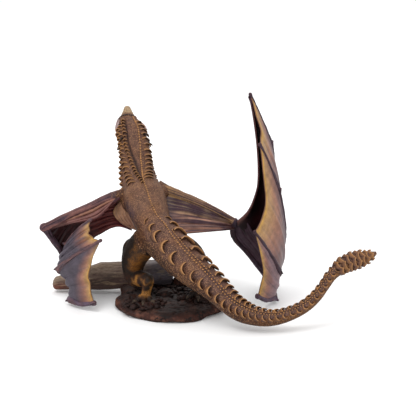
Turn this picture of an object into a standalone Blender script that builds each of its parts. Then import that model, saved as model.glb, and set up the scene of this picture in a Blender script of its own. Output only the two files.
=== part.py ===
"""Winged dragon statue: one casting of the beast, standing on one casting of a rock mound with a fallen log."""
import math

import bmesh
import bpy
import numpy as np
from mathutils import Vector

# Driving dimensions, in metres
FIGURE_HEIGHT = 0.225      # table to the tip of the raised wing
MOUND_LENGTH = 0.108       # along X
MOUND_DEPTH = 0.098        # along Y
MOUND_BACK = 0.0045        # how far the mound's middle lies behind the origin
MOUND_HEIGHT = 0.010       # flat top that the feet stand on
MOUND_SIDES = 28
LOG_LENGTH = 0.128
LOG_DIAMETER = 0.029       # at the thick end, behind the legs
LOG_TIP_DIAMETER = 0.013
LOG_SIDES = 12
LOG_START_X = 0.002        # thick end
LOG_FROM_EDGE = 0.0075     # log's axis to the mound's back edge
FLOOR_CLEARANCE = 0.0008   # under the log's free end
FIT_GAP = 0.0003           # between the soles and the mound
WEB_THICKNESS = 0.0019
FINGER_RADIUS = 0.0026
KNUCKLE_RADIUS = 0.0042
ARM_RADIUS = 0.0056
CLAW_LENGTH = 0.008
PLATE_ROOT = 0.0016        # how deep a plate is sunk in the skin
PLATE_LIP = 0.0002         # how far a plate's front edge stands clear of it
SLIVER = 1e-6              # edges of a union shorter than this are welded shut

# The figure is drawn in units of its own height, 225 units from the table to the wing tip
DRAWN_HEIGHT = 225.0
DRAWN_SOLE = 10.3
UNIT = FIGURE_HEIGHT / DRAWN_HEIGHT
SOLE_LEVEL = MOUND_HEIGHT + FIT_GAP

# Body stations from snout to tail tip: place, half width, half height, direction of the back
BODY = (
    ((-47.8, 106.5, 185.5), 3.2, 3.0, (0.2, -1, 0.6)),
    ((-47.2, 101, 181.5), 5.2, 4.7, (0.2, -1, 0.6)),
    ((-46.0, 91, 173.5), 9.8, 7.8, (0.2, -1, 0.5)),
    ((-42.2, 79, 163.5), 14.2, 11.6, (0.2, -1, 0.4)),
    ((-37.8, 67, 150.5), 14.8, 13.0, (0.2, -1, 0.3)),
    ((-36.0, 57, 136), 15.6, 14.5, (0.2, -1, 0.4)),
    ((-32.5, 45, 119.5), 17.8, 17.0, (0.25, -1, 0.6)),
    ((-26.5, 30, 106), 21.5, 18.5, (0.3, -0.8, 0.8)),
    ((-20.5, 13, 94), 19.5, 17.5, (0.3, -0.6, 0.9)),
    ((-15.0, 0, 85), 18.0, 16.5, (0.3, -0.5, 0.9)),
    ((-7, -12, 76), 20.5, 17.5, (0.25, -0.5, 0.9)),
    ((7, -28, 65), 18.6, 17.2, (0.2, -0.5, 0.9)),
    ((21, -40, 55.5), 17.0, 15.8, (0.1, -0.5, 1)),
    ((44.3, -53, 39.5), 13.2, 12.6, (0.1, -0.5, 1)),
    ((65.6, -62, 22), 11.0, 10.6, (0.05, -0.4, 1)),
    ((83, -66, 15.2), 8.9, 8.6, (0, -0.4, 1)),
    ((100, -67, 13.6), 7.3, 7.0, (0, -0.4, 1)),
    ((116.8, -66, 17.6), 6.3, 6.1, (-0.1, -0.4, 1)),
    ((131.8, -63, 24.5), 5.7, 5.5, (-0.2, -0.4, 1)),
    ((142.6, -59, 33.2), 5.3, 5.1, (-0.3, -0.4, 1)),
    ((150, -55, 42), 5.0, 4.8, (-0.4, -0.4, 1)),
    ((158, -50, 52), 5.4, 5.2, (-0.4, -0.4, 1)),
    ((167.5, -46, 59.5), 7.0, 6.8, (-0.3, -0.4, 1)),
    ((176.4, -43, 63.1), 7.8, 7.6, (-0.2, -0.4, 1)),
    ((186.5, -40, 65.2), 7.0, 6.8, (-0.1, -0.4, 1)),
    ((195.4, -38, 67.6), 4.6, 4.4, (0, -0.4, 1)),
    ((202, -36, 70), 1.5, 1.5, (0, -0.4, 1)),
)
BACK_ROW = (0.11, 0.895)    # the single row along the keel
CLUB = (0.915, 0.985)       # overlapping bands at the end of the tail

# How the keel of the back wanders round the body: share of the body's length, angle from the back's middle
KEEL = ((0.0, -30), (0.09, -26), (0.14, -12), (0.18, -10), (0.25, 4), (0.31, 8), (0.345, 6), (0.373, -3), (0.43, 0),
        (0.50, 3), (0.54, 9), (0.57, 18), (0.60, 22), (0.64, 16), (0.70, 12), (0.80, 13), (0.90, 14), (1.0, 14))
# Half the angle between the tail's two rows of crescents, and the shares where the crescents stand
SPREAD = ((0.33, 38), (0.40, 40), (0.46, 46), (0.53, 49), (0.58, 44), (0.63, 36), (0.70, 38), (0.80, 45), (0.90, 44))
LEFT_ROW = (0.348, 0.368, 0.394, 0.427, 0.460, 0.489, 0.513, 0.537, 0.560, 0.582, 0.601, 0.617, 0.632, 0.647, 0.661,
            0.676, 0.691, 0.706, 0.722, 0.738, 0.754, 0.770, 0.786, 0.803, 0.819, 0.835, 0.851, 0.867, 0.882, 0.896)
RIGHT_ROW = (0.353, 0.374, 0.402, 0.434, 0.470, 0.503, 0.528, 0.549, 0.567, 0.583, 0.598, 0.613, 0.628, 0.643, 0.658,
             0.673, 0.688, 0.704, 0.720, 0.737, 0.754, 0.771, 0.788, 0.806, 0.823, 0.840, 0.857, 0.874, 0.890)
# The neck's crest on the left and its arched bands on the right, as angles from the keel
NECK_CREST = ((0.053, 62), (0.09, 60), (0.122, 62), (0.143, 50), (0.166, 38), (0.192, 26), (0.224, 10), (0.245, 4))
NECK_BANDS = ((0.05, -28), (0.09, -30), (0.13, -34), (0.16, -36), (0.19, -26), (0.22, -14))
BODY_LENGTH = 402           # along the body's axis, in drawn units
WEB_ROOT = 0.05             # where a web starts, as a share of its bones' length
CLAW_SHOWING = 0.8          # share of a claw's length that is clear of the toe

LEFT_SHOULDER, LEFT_ELBOW, LEFT_WRIST = (-38, 40, 110), (-125, 0, 84.5), (-98, 28, 12.5)
RIGHT_SHOULDER, RIGHT_ELBOW, RIGHT_WRIST = (-14, 44, 114), (65, 34, 81), (103.5, 62, 8)
LEFT_ARM = (LEFT_SHOULDER, (-62, 35, 105.5), (-83, 24, 98.5), (-105, 10.5, 92), LEFT_ELBOW)
LEFT_FOREARM = (LEFT_ELBOW, (-116.5, 9, 65.5), (-106, 18, 45), LEFT_WRIST)
RIGHT_ARM = (RIGHT_SHOULDER, (14, 46, 103), (39, 42, 93), RIGHT_ELBOW)
RIGHT_FOREARM = (RIGHT_ELBOW, (65, 43, 62), (80.5, 54, 40), RIGHT_WRIST)

# Wing fingers, wrist to tip; the knuckle is the fourth point of each
RIGHT_FINGERS = (
    (RIGHT_WRIST, (105, 45, 74), (103.5, 22, 139), (100, 10, 167), (88.8, -4, 197.5), (78.5, -15, 222)),
    (RIGHT_WRIST, (110, 38, 33), (116, 15, 73), (107.5, -9, 124), (97, -24, 155), (87.5, -35, 177.6)),
    (RIGHT_WRIST, (107, 40, 14), (110, 14, 28), (109.5, -4, 41), (97, -26, 69), (83, -45, 94)),
    (RIGHT_WRIST, (105, 44, 5), (106.5, 28, 5), (105.5, 13, 5.6), (97, 0, 8), (88, -12, 16)),
)
LEFT_FINGERS = (
    (LEFT_WRIST, (-101, 22, 30), (-104, 14, 50), (-104, 8, 64.7), (-92, -4, 83), (-78, -14, 96.7)),
    (LEFT_WRIST, (-103, 22, 20), (-109, 12, 31), (-113, 2, 41), (-91.5, -15, 62), (-67, -30, 80.4)),
    (LEFT_WRIST, (-100, 21, 9), (-102, 13, 7), (-102.5, 5, 6), (-91, -6, 5.6), (-77, -14, 9.5)),
)
# Free edges of the webs between arm and flank, hip outwards
RIGHT_TRAIL_ARM = ((0, -5, 79), (30, 8, 77.5), (52, 16, 77), (68, 38, 72))
RIGHT_TRAIL_FINGER = ((62, 35, 76), (78, 27, 93), (86, 24, 112), (88.4, 18, 130), (86.5, 5, 166), (79.5, -14, 218))
ELBOW_WEB_EDGE = ((74, 32, 89), (106, 57, 28))
LEFT_TRAIL = ((-36, 14, 76), (-54.6, 28, 77), (-70, 27, 70.6), (-84, 27, 58), LEFT_WRIST)
LEFT_FOLD = ((-52, 31, 109), (-65, 18, 98), (-75, 10, 91), (-100, 4, 87), (-124, -1, 82))
FLANK_ROOT = ((-44, 32, 104), (-40, 26, 97), (-37, 20, 90), (-33, 14, 82), (-30, 10, 78))
FLANK_EDGE = ((-50, 33, 104.5), (-57.5, 31, 96), (-58, 28, 89.5), (-51, 23, 83), (-38, 14, 80))

# Hind legs: hip, knee, ankle and ball of the foot, with the radius of each stretch
LEFT_LEG = ((-23, -2, 72), (-36, 8, 52), (-38.5, 13, 29), (-30, -1, 31), (-22, -14, 34), (-23.5, -12, 24), (-25, -11, 15))
LEFT_LEG_RADII = (15, 13.4, 9, 8, 6.2, 4.8, 4.6)
RIGHT_LEG = ((2, 4, 67), (20, 20, 49), (31, 31, 29), (27, 18, 30), (23, 5, 33), (25, 4, 24), (27, 4, 15.5))
RIGHT_LEG_RADII = (15, 14, 8.5, 8, 6.2, 4.8, 4.6)
LEFT_TOES = ((-33, -18, 12), (-26, -22, 12), (-19, -19, 12))
RIGHT_TOES = ((20, -6, 12), (28, -9, 12), (36, -4, 12))
TOE_RADIUS = 3.2

# Head trimmings, right side first; the left side mirrors them about the head's own middle plane
HORNS = (
    (0.100, 52, 8, 3.0, 1.0),   # station, angle from the crown, length, radius, backward lean
    (0.118, 78, 6.5, 2.8, 1.1),
    (0.080, 70, 5.5, 2.4, 0.9),
    (0.060, 55, 4.5, 2.0, 0.6),
    (0.100, 112, 8, 2.6, 1.2),
)
SIDE_SPIKES = (0.150, 0.170, 0.190, 0.210, 0.230)


def smooth(points):
    """Catmull-Rom curve through the points, as a function of a share from 0 to 1."""
    pts = [np.array(p, float) for p in points]
    pts = [2 * pts[0] - pts[1]] + pts + [2 * pts[-1] - pts[-2]]
    spans = len(pts) - 3

    def at(share):
        place = min(max(share, 0.0), 1.0) * spans
        i = min(int(place), spans - 1)
        t = place - i
        a, b, c, d = pts[i:i + 4]
        return 0.5 * (2 * b + (c - a) * t + (2 * a - 5 * b + 4 * c - d) * t ** 2 + (3 * b - a - 3 * c + d) * t ** 3)

    return at


def even_shares(curve, count, fine=400):
    """Shares that cut the curve into equal lengths."""
    shares = np.linspace(0, 1, fine + 1)
    places = np.array([curve(s)[:3] for s in shares])
    run = np.concatenate([[0], np.cumsum(np.linalg.norm(np.diff(places, axis=0), axis=1))])
    return np.interp(np.linspace(0, run[-1], count + 1), run, shares)


def solid(name, verts, faces):
    mesh = bpy.data.meshes.new(name)
    mesh.from_pydata([tuple(v) for v in verts], [], faces)
    bm = bmesh.new()
    bm.from_mesh(mesh)
    bmesh.ops.triangulate(bm, faces=bm.faces)
    bmesh.ops.recalc_face_normals(bm, faces=bm.faces)
    bm.to_mesh(mesh)
    bm.free()
    obj = bpy.data.objects.new(name, mesh)
    bpy.context.collection.objects.link(obj)
    return obj


def stitched(rings):
    """Faces of a closed loft: rings of equal size joined in order, with a flat face on each end."""
    sides = len(rings[0])
    verts = [v for ring in rings for v in ring]
    faces = [tuple(range(sides))[::-1], tuple(range(len(verts) - sides, len(verts)))]
    for r in range(len(rings) - 1):
        for s in range(sides):
            a, b = r * sides + s, r * sides + (s + 1) % sides
            faces.append((a, b, b + sides, a + sides))
    return verts, faces


def tube(name, points, radii, step=7.0, sides=8):
    """Round limb through drawn points, with the radius given at each of them."""
    curve = smooth([tuple(p) + (r,) for p, r in zip(points, radii)])
    length = sum(math.dist(a, b) for a, b in zip(points, points[1:]))
    shares = even_shares(curve, max(2, round(length / step)))
    places = [curve(s) for s in shares]
    up = Vector((0.31, -0.52, 0.79))
    rings = []
    for i, place in enumerate(places):
        ahead = Vector(places[min(i + 1, len(places) - 1)][:3]) - Vector(places[max(i - 1, 0)][:3])
        ahead.normalize()
        up = (up - ahead * up.dot(ahead)).normalized()
        side = ahead.cross(up)
        ring = []
        for k in range(sides):
            turn = 2 * math.pi * k / sides
            ring.append(Vector(place[:3]) + (up * math.cos(turn) + side * math.sin(turn)) * place[3])
        rings.append(ring)
    verts, faces = stitched(rings)
    return solid(name, [v * UNIT for v in verts], faces)


def body_frame():
    """Functions giving the body's axis, half width, half height and back direction at a share of its length."""
    curve = smooth([tuple(p) + (w, h) + tuple(Vector(d).normalized()) for p, w, h, d in BODY])
    table = even_shares(curve, 400)

    def at(share):
        s = float(np.interp(share, np.linspace(0, 1, len(table)), table))
        here = curve(s)
        ahead = Vector(curve(min(s + 0.004, 1))[:3]) - Vector(curve(max(s - 0.004, 0))[:3])
        ahead.normalize()
        back = Vector(here[5:8])
        back = (back - ahead * back.dot(ahead)).normalized()
        return Vector(here[:3]), here[3], here[4], back, ahead.cross(back), ahead

    return at


def skin_point(frame, share, angle, lift=0.0):
    """Point on the body's skin at an angle from the back's middle, with the outward direction there."""
    centre, wide, high, back, side, ahead = frame(share)
    turn = math.radians(angle)
    out = (back * math.cos(turn) * wide + side * math.sin(turn) * high).normalized()
    place = centre + back * math.cos(turn) * high + side * math.sin(turn) * wide
    return place + out * lift, out, ahead


def body(frame, rings=62, sides=16):
    loops = []
    for i in range(rings + 1):
        centre, wide, high, back, side, _ = frame(i / rings)
        turns = [2 * math.pi * k / sides for k in range(sides)]
        loops.append([centre + back * math.cos(t) * high + side * math.sin(t) * wide for t in turns])
    verts, faces = stitched(loops)
    return solid("body", [v * UNIT for v in verts], faces)


def hull(name, points):
    """Convex solid around drawn points."""
    bm = bmesh.new()
    for p in points:
        bm.verts.new(p * UNIT)
    bmesh.ops.convex_hull(bm, input=bm.verts)
    unused = [v for v in bm.verts if not v.link_faces]
    bmesh.ops.delete(bm, geom=unused, context="VERTS")
    bmesh.ops.recalc_face_normals(bm, faces=bm.faces)
    mesh = bpy.data.meshes.new(name)
    bm.to_mesh(mesh)
    bm.free()
    obj = bpy.data.objects.new(name, mesh)
    bpy.context.collection.objects.link(obj)
    return obj


def scute(frame, share, angle, width, length, height):
    """One crescent plate that rises towards the tail and is sunk in the skin."""
    place, out, ahead = skin_point(frame, share, angle)
    across = out.cross(ahead)
    low = out * (-PLATE_ROOT / UNIT)
    front, rear = ahead * (-0.5 * length), ahead * (0.5 * length)
    half = across * (0.5 * width)
    points = [
        place + front + low + half * 0.7, place + front + low - half * 0.7,
        place + rear * 0.6 + low + half, place + rear * 0.6 + low - half,
        place + rear * 0.7 + out * height * 0.45 + half * 0.86,
        place + rear * 0.7 + out * height * 0.45 - half * 0.86,
        place + rear * 1.15 + out * height, place + front + out * (PLATE_LIP / UNIT),
    ]
    return hull("scute", points)


def table_at(table, share):
    """Value of a table of share and value, read between its rows."""
    return float(np.interp(share, [row[0] for row in table], [row[1] for row in table]))


def spread(stretch, count):
    start, end = stretch
    return [start + (end - start) * i / (count - 1) for i in range(count)]


def plates(frame):
    """Rows of plates on the neck, the back and the tail, and the bands of the tail's club."""
    made = []

    def plate(share, turn, width, length, height):
        made.append(scute(frame, share, turn + table_at(KEEL, share), width, length, height))

    for share in spread((0.053, 0.240), 13):
        plate(share, table_at(NECK_CREST, share), 4.6, 7.6, 2.3)
    for share in spread((0.062, 0.222), 11):
        plate(share, table_at(NECK_BANDS, share) - 12, 10.0, 7.6, 2.0)
    for share in spread((0.08, 0.235), 10):
        for sign in (1, -1):
            plate(share, sign * 96, 6.0, 7.4, 2.2)
    for share in spread(BACK_ROW, 40):
        _, wide, *_ = frame(share)
        plate(share, 0, 0.14 * wide + 2.4, 7.6, 1.4)
    for sign, shares in ((1, LEFT_ROW), (-1, RIGHT_ROW)):
        for i, share in enumerate(shares):
            _, wide, *_ = frame(share)
            gap = (shares[min(i + 1, len(shares) - 1)] - shares[max(i - 1, 0)]) / 2 * BODY_LENGTH
            grown = min(1.0, 0.55 + 0.15 * i)
            plate(share, sign * table_at(SPREAD, share), (0.74 * wide + 1.6) * grown, gap * 1.2,
                  (0.145 * wide + 1.5) * grown)
    for share in spread(CLUB, 6):
        for angle in (-120, -72, -24, 24, 72, 120):
            made.append(scute(frame, share, angle, 7.6, 7.5, 2.0))
    return made


def thorn(frame, share, angle, length, radius, lean):
    """Horn or spike that grows from the skin and leans back along the neck."""
    root, out, ahead = skin_point(frame, share, angle, -2.0)
    tip = root + (out + ahead * lean).normalized() * (length + 2.0)
    bend = root + (out * 1.2 + ahead * lean * 0.6).normalized() * (length + 2.0) * 0.5
    return tube("thorn", [tuple(root), tuple(bend), tuple(tip)], (radius, radius * 0.72, 0.35), step=4.5, sides=6)


def head(frame):
    made = []
    for share, angle, length, radius, lean in HORNS:
        for sign in (1, -1):
            made.append(thorn(frame, share, sign * angle, length, radius, lean))
    for share in SIDE_SPIKES:
        for sign in (1, -1):
            made.append(thorn(frame, share, sign * 84, 3.2, 2.0, 1.0))
    throat, _, ahead = skin_point(frame, 0.085, 180, -4.0)
    chin, out, _ = skin_point(frame, 0.018, 180, 3.4)
    middle = (throat + chin) / 2 + out * 2.2
    made.append(tube("jaw", [tuple(throat), tuple(middle), tuple(chin)], (6.0, 4.8, 2.6), step=7, sides=8))
    return made


def web(name, first, second, along=9, across=5, belly=0.0, scallop=0.0, ridges=0, ridge_depth=0.0):
    """Thin sheet of skin stretched between two drawn curves, with a hollowed free edge at their far ends."""
    one, two = smooth(first), smooth(second)
    grid = np.empty((along + 1, across + 1, 3))
    for i in range(along + 1):
        for j in range(across + 1):
            v = j / across
            u = WEB_ROOT + (1 - WEB_ROOT) * i / along * (1 - scallop * math.sin(math.pi * v))
            grid[i, j] = one(u) * (1 - v) + two(u) * v
    normals = np.cross(np.gradient(grid, axis=0), np.gradient(grid, axis=1))
    normals /= np.maximum(np.linalg.norm(normals, axis=2, keepdims=True), 1e-9)
    for i in range(along + 1):
        for j in range(across + 1):
            u, v = i / along, j / across
            sag = belly * math.sin(math.pi * v) * math.sin(math.pi * min(1.0, 0.15 + u * 0.7))
            fold = ridge_depth * math.cos(2 * math.pi * ridges * v) * math.sin(math.pi * v)
            grid[i, j] += normals[i, j] * (sag + fold)
    half = 0.5 * WEB_THICKNESS / UNIT
    top = [Vector(p) for p in (grid + normals * half).reshape(-1, 3)]
    bottom = [Vector(p) for p in (grid - normals * half).reshape(-1, 3)]
    wide = across + 1
    count = (along + 1) * wide
    faces = []
    for i in range(along):
        for j in range(across):
            a = i * wide + j
            faces.append((a, a + 1, a + wide + 1, a + wide))
            faces.append((count + a, count + a + wide, count + a + wide + 1, count + a + 1))
    rim = [j for j in range(wide)] + [i * wide + across for i in range(1, along + 1)]
    rim += [along * wide + j for j in range(across - 1, -1, -1)] + [i * wide for i in range(along - 1, 0, -1)]
    for a, b in zip(rim, rim[1:] + rim[:1]):
        faces.append((b, a, count + a, count + b))
    return solid(name, [v * UNIT for v in top + bottom], faces)


def chord(start, end, count):
    """Evenly spaced drawn points on the straight line between two."""
    return [tuple(Vector(start).lerp(Vector(end), i / (count - 1))) for i in range(count)]


def finger(points):
    """Wing finger with a swollen knuckle and a thin hooked tip."""
    thick = FINGER_RADIUS / UNIT
    knuckle = KNUCKLE_RADIUS / UNIT
    radii = (thick * 1.2, thick, thick, knuckle * 0.85, thick, thick * 0.85)
    bones = [tube("finger", points, radii, step=11, sides=6)]
    joint = Vector(points[3])
    outward = (joint - (Vector(points[1]) + Vector(points[5])) / 2).normalized()
    spur = joint + outward * (CLAW_LENGTH / UNIT) * CLAW_SHOWING
    bones.append(tube("spur", [tuple(joint), tuple(joint.lerp(spur, 0.5)), tuple(spur)], (2.8, 2.0, 0.5), 4, 6))
    return bones


def wings():
    arm = ARM_RADIUS / UNIT
    made = [
        tube("arm", LEFT_ARM, (arm * 1.5, arm * 1.1, arm * 0.9, arm * 0.8, arm * 0.75), sides=8),
        tube("forearm", LEFT_FOREARM, (arm * 0.75, arm * 0.6, arm * 0.6, arm * 0.8), sides=8),
        tube("arm", RIGHT_ARM, (arm * 1.5, arm * 1.0, arm * 0.8, arm * 0.75), sides=8),
        tube("forearm", RIGHT_FOREARM, (arm * 0.75, arm * 0.6, arm * 0.6, arm * 0.7), sides=8),
        web("arm_web_right", RIGHT_ARM, RIGHT_TRAIL_ARM, 9, 12, belly=2, ridges=4, ridge_depth=1.1),
        web("outer_web_right", RIGHT_FINGERS[0], RIGHT_TRAIL_FINGER, 10, 4, belly=-5),
        web("elbow_web_right", RIGHT_FOREARM, chord(*ELBOW_WEB_EDGE, 4), 6, 2),
        web("arm_web_left", LEFT_ARM, LEFT_TRAIL, 9, 8, belly=-3, ridges=2, ridge_depth=0.8),
        web("fold_left", LEFT_ARM, LEFT_FOLD, 9, 10, ridges=3, ridge_depth=0.9),
        web("flank_left", FLANK_ROOT, FLANK_EDGE, 4, 3, belly=2),
    ]
    bends = ((1, 0.10), (2, 0.13), (1, 0.12))
    for (belly, scallop), one, two in zip(bends, RIGHT_FINGERS, RIGHT_FINGERS[1:]):
        made.append(web("hand_web", one, two, 11, 5, belly, scallop, 2, 0.5))
    bends = ((-2, 0.06), (4, 0.10))
    for (belly, scallop), one, two in zip(bends, LEFT_FINGERS, LEFT_FINGERS[1:]):
        made.append(web("hand_web", one, two, 11, 5, belly, scallop, 2, 0.5))
    for points in RIGHT_FINGERS + LEFT_FINGERS:
        made += finger(points)
    return made


def legs():
    made = []
    claw = CLAW_LENGTH / UNIT
    for path, radii, toes in ((LEFT_LEG, LEFT_LEG_RADII, LEFT_TOES), (RIGHT_LEG, RIGHT_LEG_RADII, RIGHT_TOES)):
        made.append(tube("leg", path, radii, step=8, sides=10))
        ball = Vector(path[-1])
        for toe in toes:
            end = Vector(toe)
            ahead = (end - ball).normalized()
            knuckle = ball.lerp(end, 0.55) + Vector((0, 0, 2.4))
            nail = end + Vector((ahead.x, ahead.y, 0)) * claw * CLAW_SHOWING
            points = [tuple(ball), tuple(knuckle), tuple(end + Vector((0, 0, 1.6))), tuple(nail)]
            made.append(tube("toe", points, (4.2, TOE_RADIUS, 2.8, 0.5), step=4.5, sides=6))
    for leg in made:
        cut_below(leg, DRAWN_SOLE * UNIT)
    return made


def cut_below(obj, level):
    """Cuts off what lies under a level plane and closes the cut."""
    bm = bmesh.new()
    bm.from_mesh(obj.data)
    geometry = bm.verts[:] + bm.edges[:] + bm.faces[:]
    cut = bmesh.ops.bisect_plane(bm, geom=geometry, plane_co=(0, 0, level), plane_no=(0, 0, -1), clear_outer=True)
    rim = [e for e in cut["geom_cut"] if isinstance(e, bmesh.types.BMEdge)]
    if rim:
        bmesh.ops.holes_fill(bm, edges=rim)
        bmesh.ops.triangulate(bm, faces=bm.faces)
    bmesh.ops.recalc_face_normals(bm, faces=bm.faces)
    bm.to_mesh(obj.data)
    bm.free()


def mended(mesh):
    """Welds a union's slivers shut, then cuts out and closes again each spot where the skin meets itself."""
    bm = bmesh.new()
    bm.from_mesh(mesh)
    bmesh.ops.triangulate(bm, faces=bm.faces)
    bmesh.ops.dissolve_degenerate(bm, dist=SLIVER, edges=bm.edges)
    bmesh.ops.triangulate(bm, faces=bm.faces)
    for turn in range(12):
        knots = {v for e in bm.edges if len(e.link_faces) != 2 for v in e.verts}
        knots |= {v for v in bm.verts if not v.is_manifold}
        if not knots:
            break
        for _ in range(turn // 4):
            knots |= {e.other_vert(v) for v in knots for e in v.link_edges}
        bmesh.ops.delete(bm, geom=list({f for v in knots for f in v.link_faces}), context="FACES")
        bmesh.ops.delete(bm, geom=[v for v in bm.verts if not v.link_faces], context="VERTS")
        rim = [e for e in bm.edges if len(e.link_faces) == 1]
        bmesh.ops.holes_fill(bm, edges=rim)
        bmesh.ops.triangulate(bm, faces=bm.faces)
    bmesh.ops.recalc_face_normals(bm, faces=bm.faces)
    bm.to_mesh(mesh)
    bm.free()


def united(name, shapes, most_triangles):
    """One body from overlapping shapes, by Boolean union, thinned to so many triangles; the shapes are removed."""
    tools = bpy.data.collections.new(name + "_shapes")
    bpy.context.scene.collection.children.link(tools)
    first, rest = shapes[0], shapes[1:]
    for shape in rest:
        for holder in list(shape.users_collection):
            holder.objects.unlink(shape)
        tools.objects.link(shape)
    join = first.modifiers.new("join", "BOOLEAN")
    join.operation = "UNION"
    join.solver = "MANIFOLD"
    join.operand_type = "COLLECTION"
    join.collection = tools
    bpy.context.view_layer.update()
    whole = bpy.data.meshes.new_from_object(first.evaluated_get(bpy.context.evaluated_depsgraph_get()))
    for shape in shapes:
        bpy.data.objects.remove(shape)
    bpy.data.collections.remove(tools)
    whole.name = name
    mended(whole)
    obj = bpy.data.objects.new(name, whole)
    bpy.context.collection.objects.link(obj)
    thin = obj.modifiers.new("thin", "DECIMATE")
    thin.ratio = min(1.0, most_triangles / sum(len(p.vertices) - 2 for p in whole.polygons))
    return obj


def set_on_stand(obj):
    """Fits the figure to the stand: soles on the mound's top, and what hangs lower kept above the table."""
    drawn = DRAWN_SOLE * UNIT
    for v in obj.data.vertices:
        v.co.z = v.co.z * SOLE_LEVEL / drawn if v.co.z < drawn else v.co.z + SOLE_LEVEL - drawn


def mound():
    """Low rock with a flat top and underside and a broken, bulging edge."""
    levels = ((0.0, 0.955), (0.22, 0.99), (0.62, 1.0), (0.9, 0.93), (1.0, 0.86))
    rings = []
    for height, share in levels:
        ring = []
        for k in range(MOUND_SIDES):
            turn = 2 * math.pi * k / MOUND_SIDES
            lobes = 1 - 0.035 * math.cos(3 * turn + 0.8) - 0.03 * math.sin(5 * turn) - 0.02 * math.cos(9 * turn)
            ledge = 1 - 0.03 * math.sin(7 * turn + 5 * height)
            reach = share * lobes * ledge
            square = (abs(math.cos(turn)) ** 2.5 + abs(math.sin(turn)) ** 2.5) ** -0.4
            reach *= square
            ring.append(Vector((math.cos(turn) * reach * MOUND_LENGTH / 2,
                                MOUND_BACK + math.sin(turn) * reach * MOUND_DEPTH / 2, height * MOUND_HEIGHT)))
        rings.append(ring)
    verts, faces = stitched(rings)
    return solid("mound", verts, faces)


def log():
    """Fallen trunk behind the legs, sunk in the mound at its thick end and tapering to the left."""
    rings = []
    steps = 12
    log_y = MOUND_BACK + MOUND_DEPTH / 2 - LOG_FROM_EDGE
    for i in range(steps + 1):
        share = i / steps
        radius = 0.5 * (LOG_DIAMETER + (LOG_TIP_DIAMETER - LOG_DIAMETER) * max(0.0, share - 0.6) / 0.4)
        ends = (0.82 if i == 0 else 1.0) * (0.7 if i == steps else 1.0)
        x = LOG_START_X - LOG_LENGTH * share
        raised = 0.006 * (1 - share) ** 2
        centre = Vector((x, log_y + 0.002 * share, FLOOR_CLEARANCE + radius * 1.09 + raised))
        ring = []
        for k in range(LOG_SIDES):
            turn = 2 * math.pi * k / LOG_SIDES
            bark = 1 + 0.05 * math.sin(3 * turn + 4 * share) - 0.04 * math.cos(5 * turn - 9 * share)
            ring.append(centre + Vector((0, math.cos(turn), math.sin(turn))) * radius * ends * bark)
        rings.append(ring)
    verts, faces = stitched(rings)
    return solid("log", verts, faces)


# Stones on the mound: place as shares of its half length and half depth, then radii in metres
STONES = (
    (-0.10, 0.15, 0.009, 0.009, 0.006),
    (0.52, 0.63, 0.012, 0.010, 0.006),
    (0.86, -0.40, 0.007, 0.011, 0.004),
    (-0.72, -0.14, 0.009, 0.012, 0.004),
    (0.20, 0.76, 0.011, 0.008, 0.012),
    (-0.80, 0.46, 0.010, 0.014, 0.005),
)


def stone(x, y, rx, ry, rz):
    bm = bmesh.new()
    bmesh.ops.create_icosphere(bm, subdivisions=2, radius=1.0)
    for v in bm.verts:
        rough = 1 + 0.07 * math.sin(4 * v.co.x + 3 * v.co.y) + 0.05 * math.cos(6 * v.co.z + 2 * v.co.x)
        v.co = Vector((v.co.x * rx, v.co.y * ry, v.co.z * rz)) * rough
        v.co += Vector((x * MOUND_LENGTH / 2, MOUND_BACK + y * MOUND_DEPTH / 2, MOUND_HEIGHT * 0.98))
        v.co.z = max(v.co.z, MOUND_HEIGHT * 0.2)
    mesh = bpy.data.meshes.new("stone")
    bm.to_mesh(mesh)
    bm.free()
    obj = bpy.data.objects.new("stone", mesh)
    bpy.context.collection.objects.link(obj)
    return obj


def painted(obj, name, colour, roughness):
    material = bpy.data.materials.new(name)
    material.use_nodes = True
    shader = material.node_tree.nodes["Principled BSDF"]
    shader.inputs["Base Color"].default_value = (*colour, 1)
    shader.inputs["Roughness"].default_value = roughness
    shader.inputs["Metallic"].default_value = 0.0
    obj.data.materials.clear()
    obj.data.materials.append(material)


def main():
    for obj in list(bpy.data.objects):
        bpy.data.objects.remove(obj)
    frame = body_frame()
    dragon = united("dragon", [body(frame)] + legs() + wings() + head(frame) + plates(frame), 8400)
    set_on_stand(dragon)
    painted(dragon, "painted_hide", (0.22, 0.14, 0.08), 0.6)
    rock = united("rock_base", [mound(), log()] + [stone(*s) for s in STONES], 1400)
    painted(rock, "painted_rock", (0.12, 0.07, 0.045), 0.75)
    for obj in (dragon, rock):
        obj.data.shade_smooth()
        obj.data.set_sharp_from_angle(angle=math.radians(40))


main()
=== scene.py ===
"""Hand painted dragon statue on its rock mound: the finished look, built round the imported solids."""
import math

import bmesh
import bpy
import numpy as np
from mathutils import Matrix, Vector, noise
from mathutils.kdtree import KDTree


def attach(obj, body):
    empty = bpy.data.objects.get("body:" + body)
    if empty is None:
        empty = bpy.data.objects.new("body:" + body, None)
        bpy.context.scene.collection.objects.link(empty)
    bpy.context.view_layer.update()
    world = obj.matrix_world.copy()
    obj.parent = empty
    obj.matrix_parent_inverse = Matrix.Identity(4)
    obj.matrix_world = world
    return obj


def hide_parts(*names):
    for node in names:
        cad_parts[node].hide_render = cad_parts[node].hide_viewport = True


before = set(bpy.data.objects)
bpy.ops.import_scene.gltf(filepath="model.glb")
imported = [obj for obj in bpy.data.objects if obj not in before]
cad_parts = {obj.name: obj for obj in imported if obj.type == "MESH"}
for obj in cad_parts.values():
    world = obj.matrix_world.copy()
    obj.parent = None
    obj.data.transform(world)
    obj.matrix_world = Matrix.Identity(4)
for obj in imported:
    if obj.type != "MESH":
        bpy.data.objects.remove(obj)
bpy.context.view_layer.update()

# The figure is drawn in millimetres, in the place where the CAD stands
MM = 0.001
SOLE = 10.3                 # level of the soles on the mound
WEB_THICKNESS = 1.7
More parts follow.
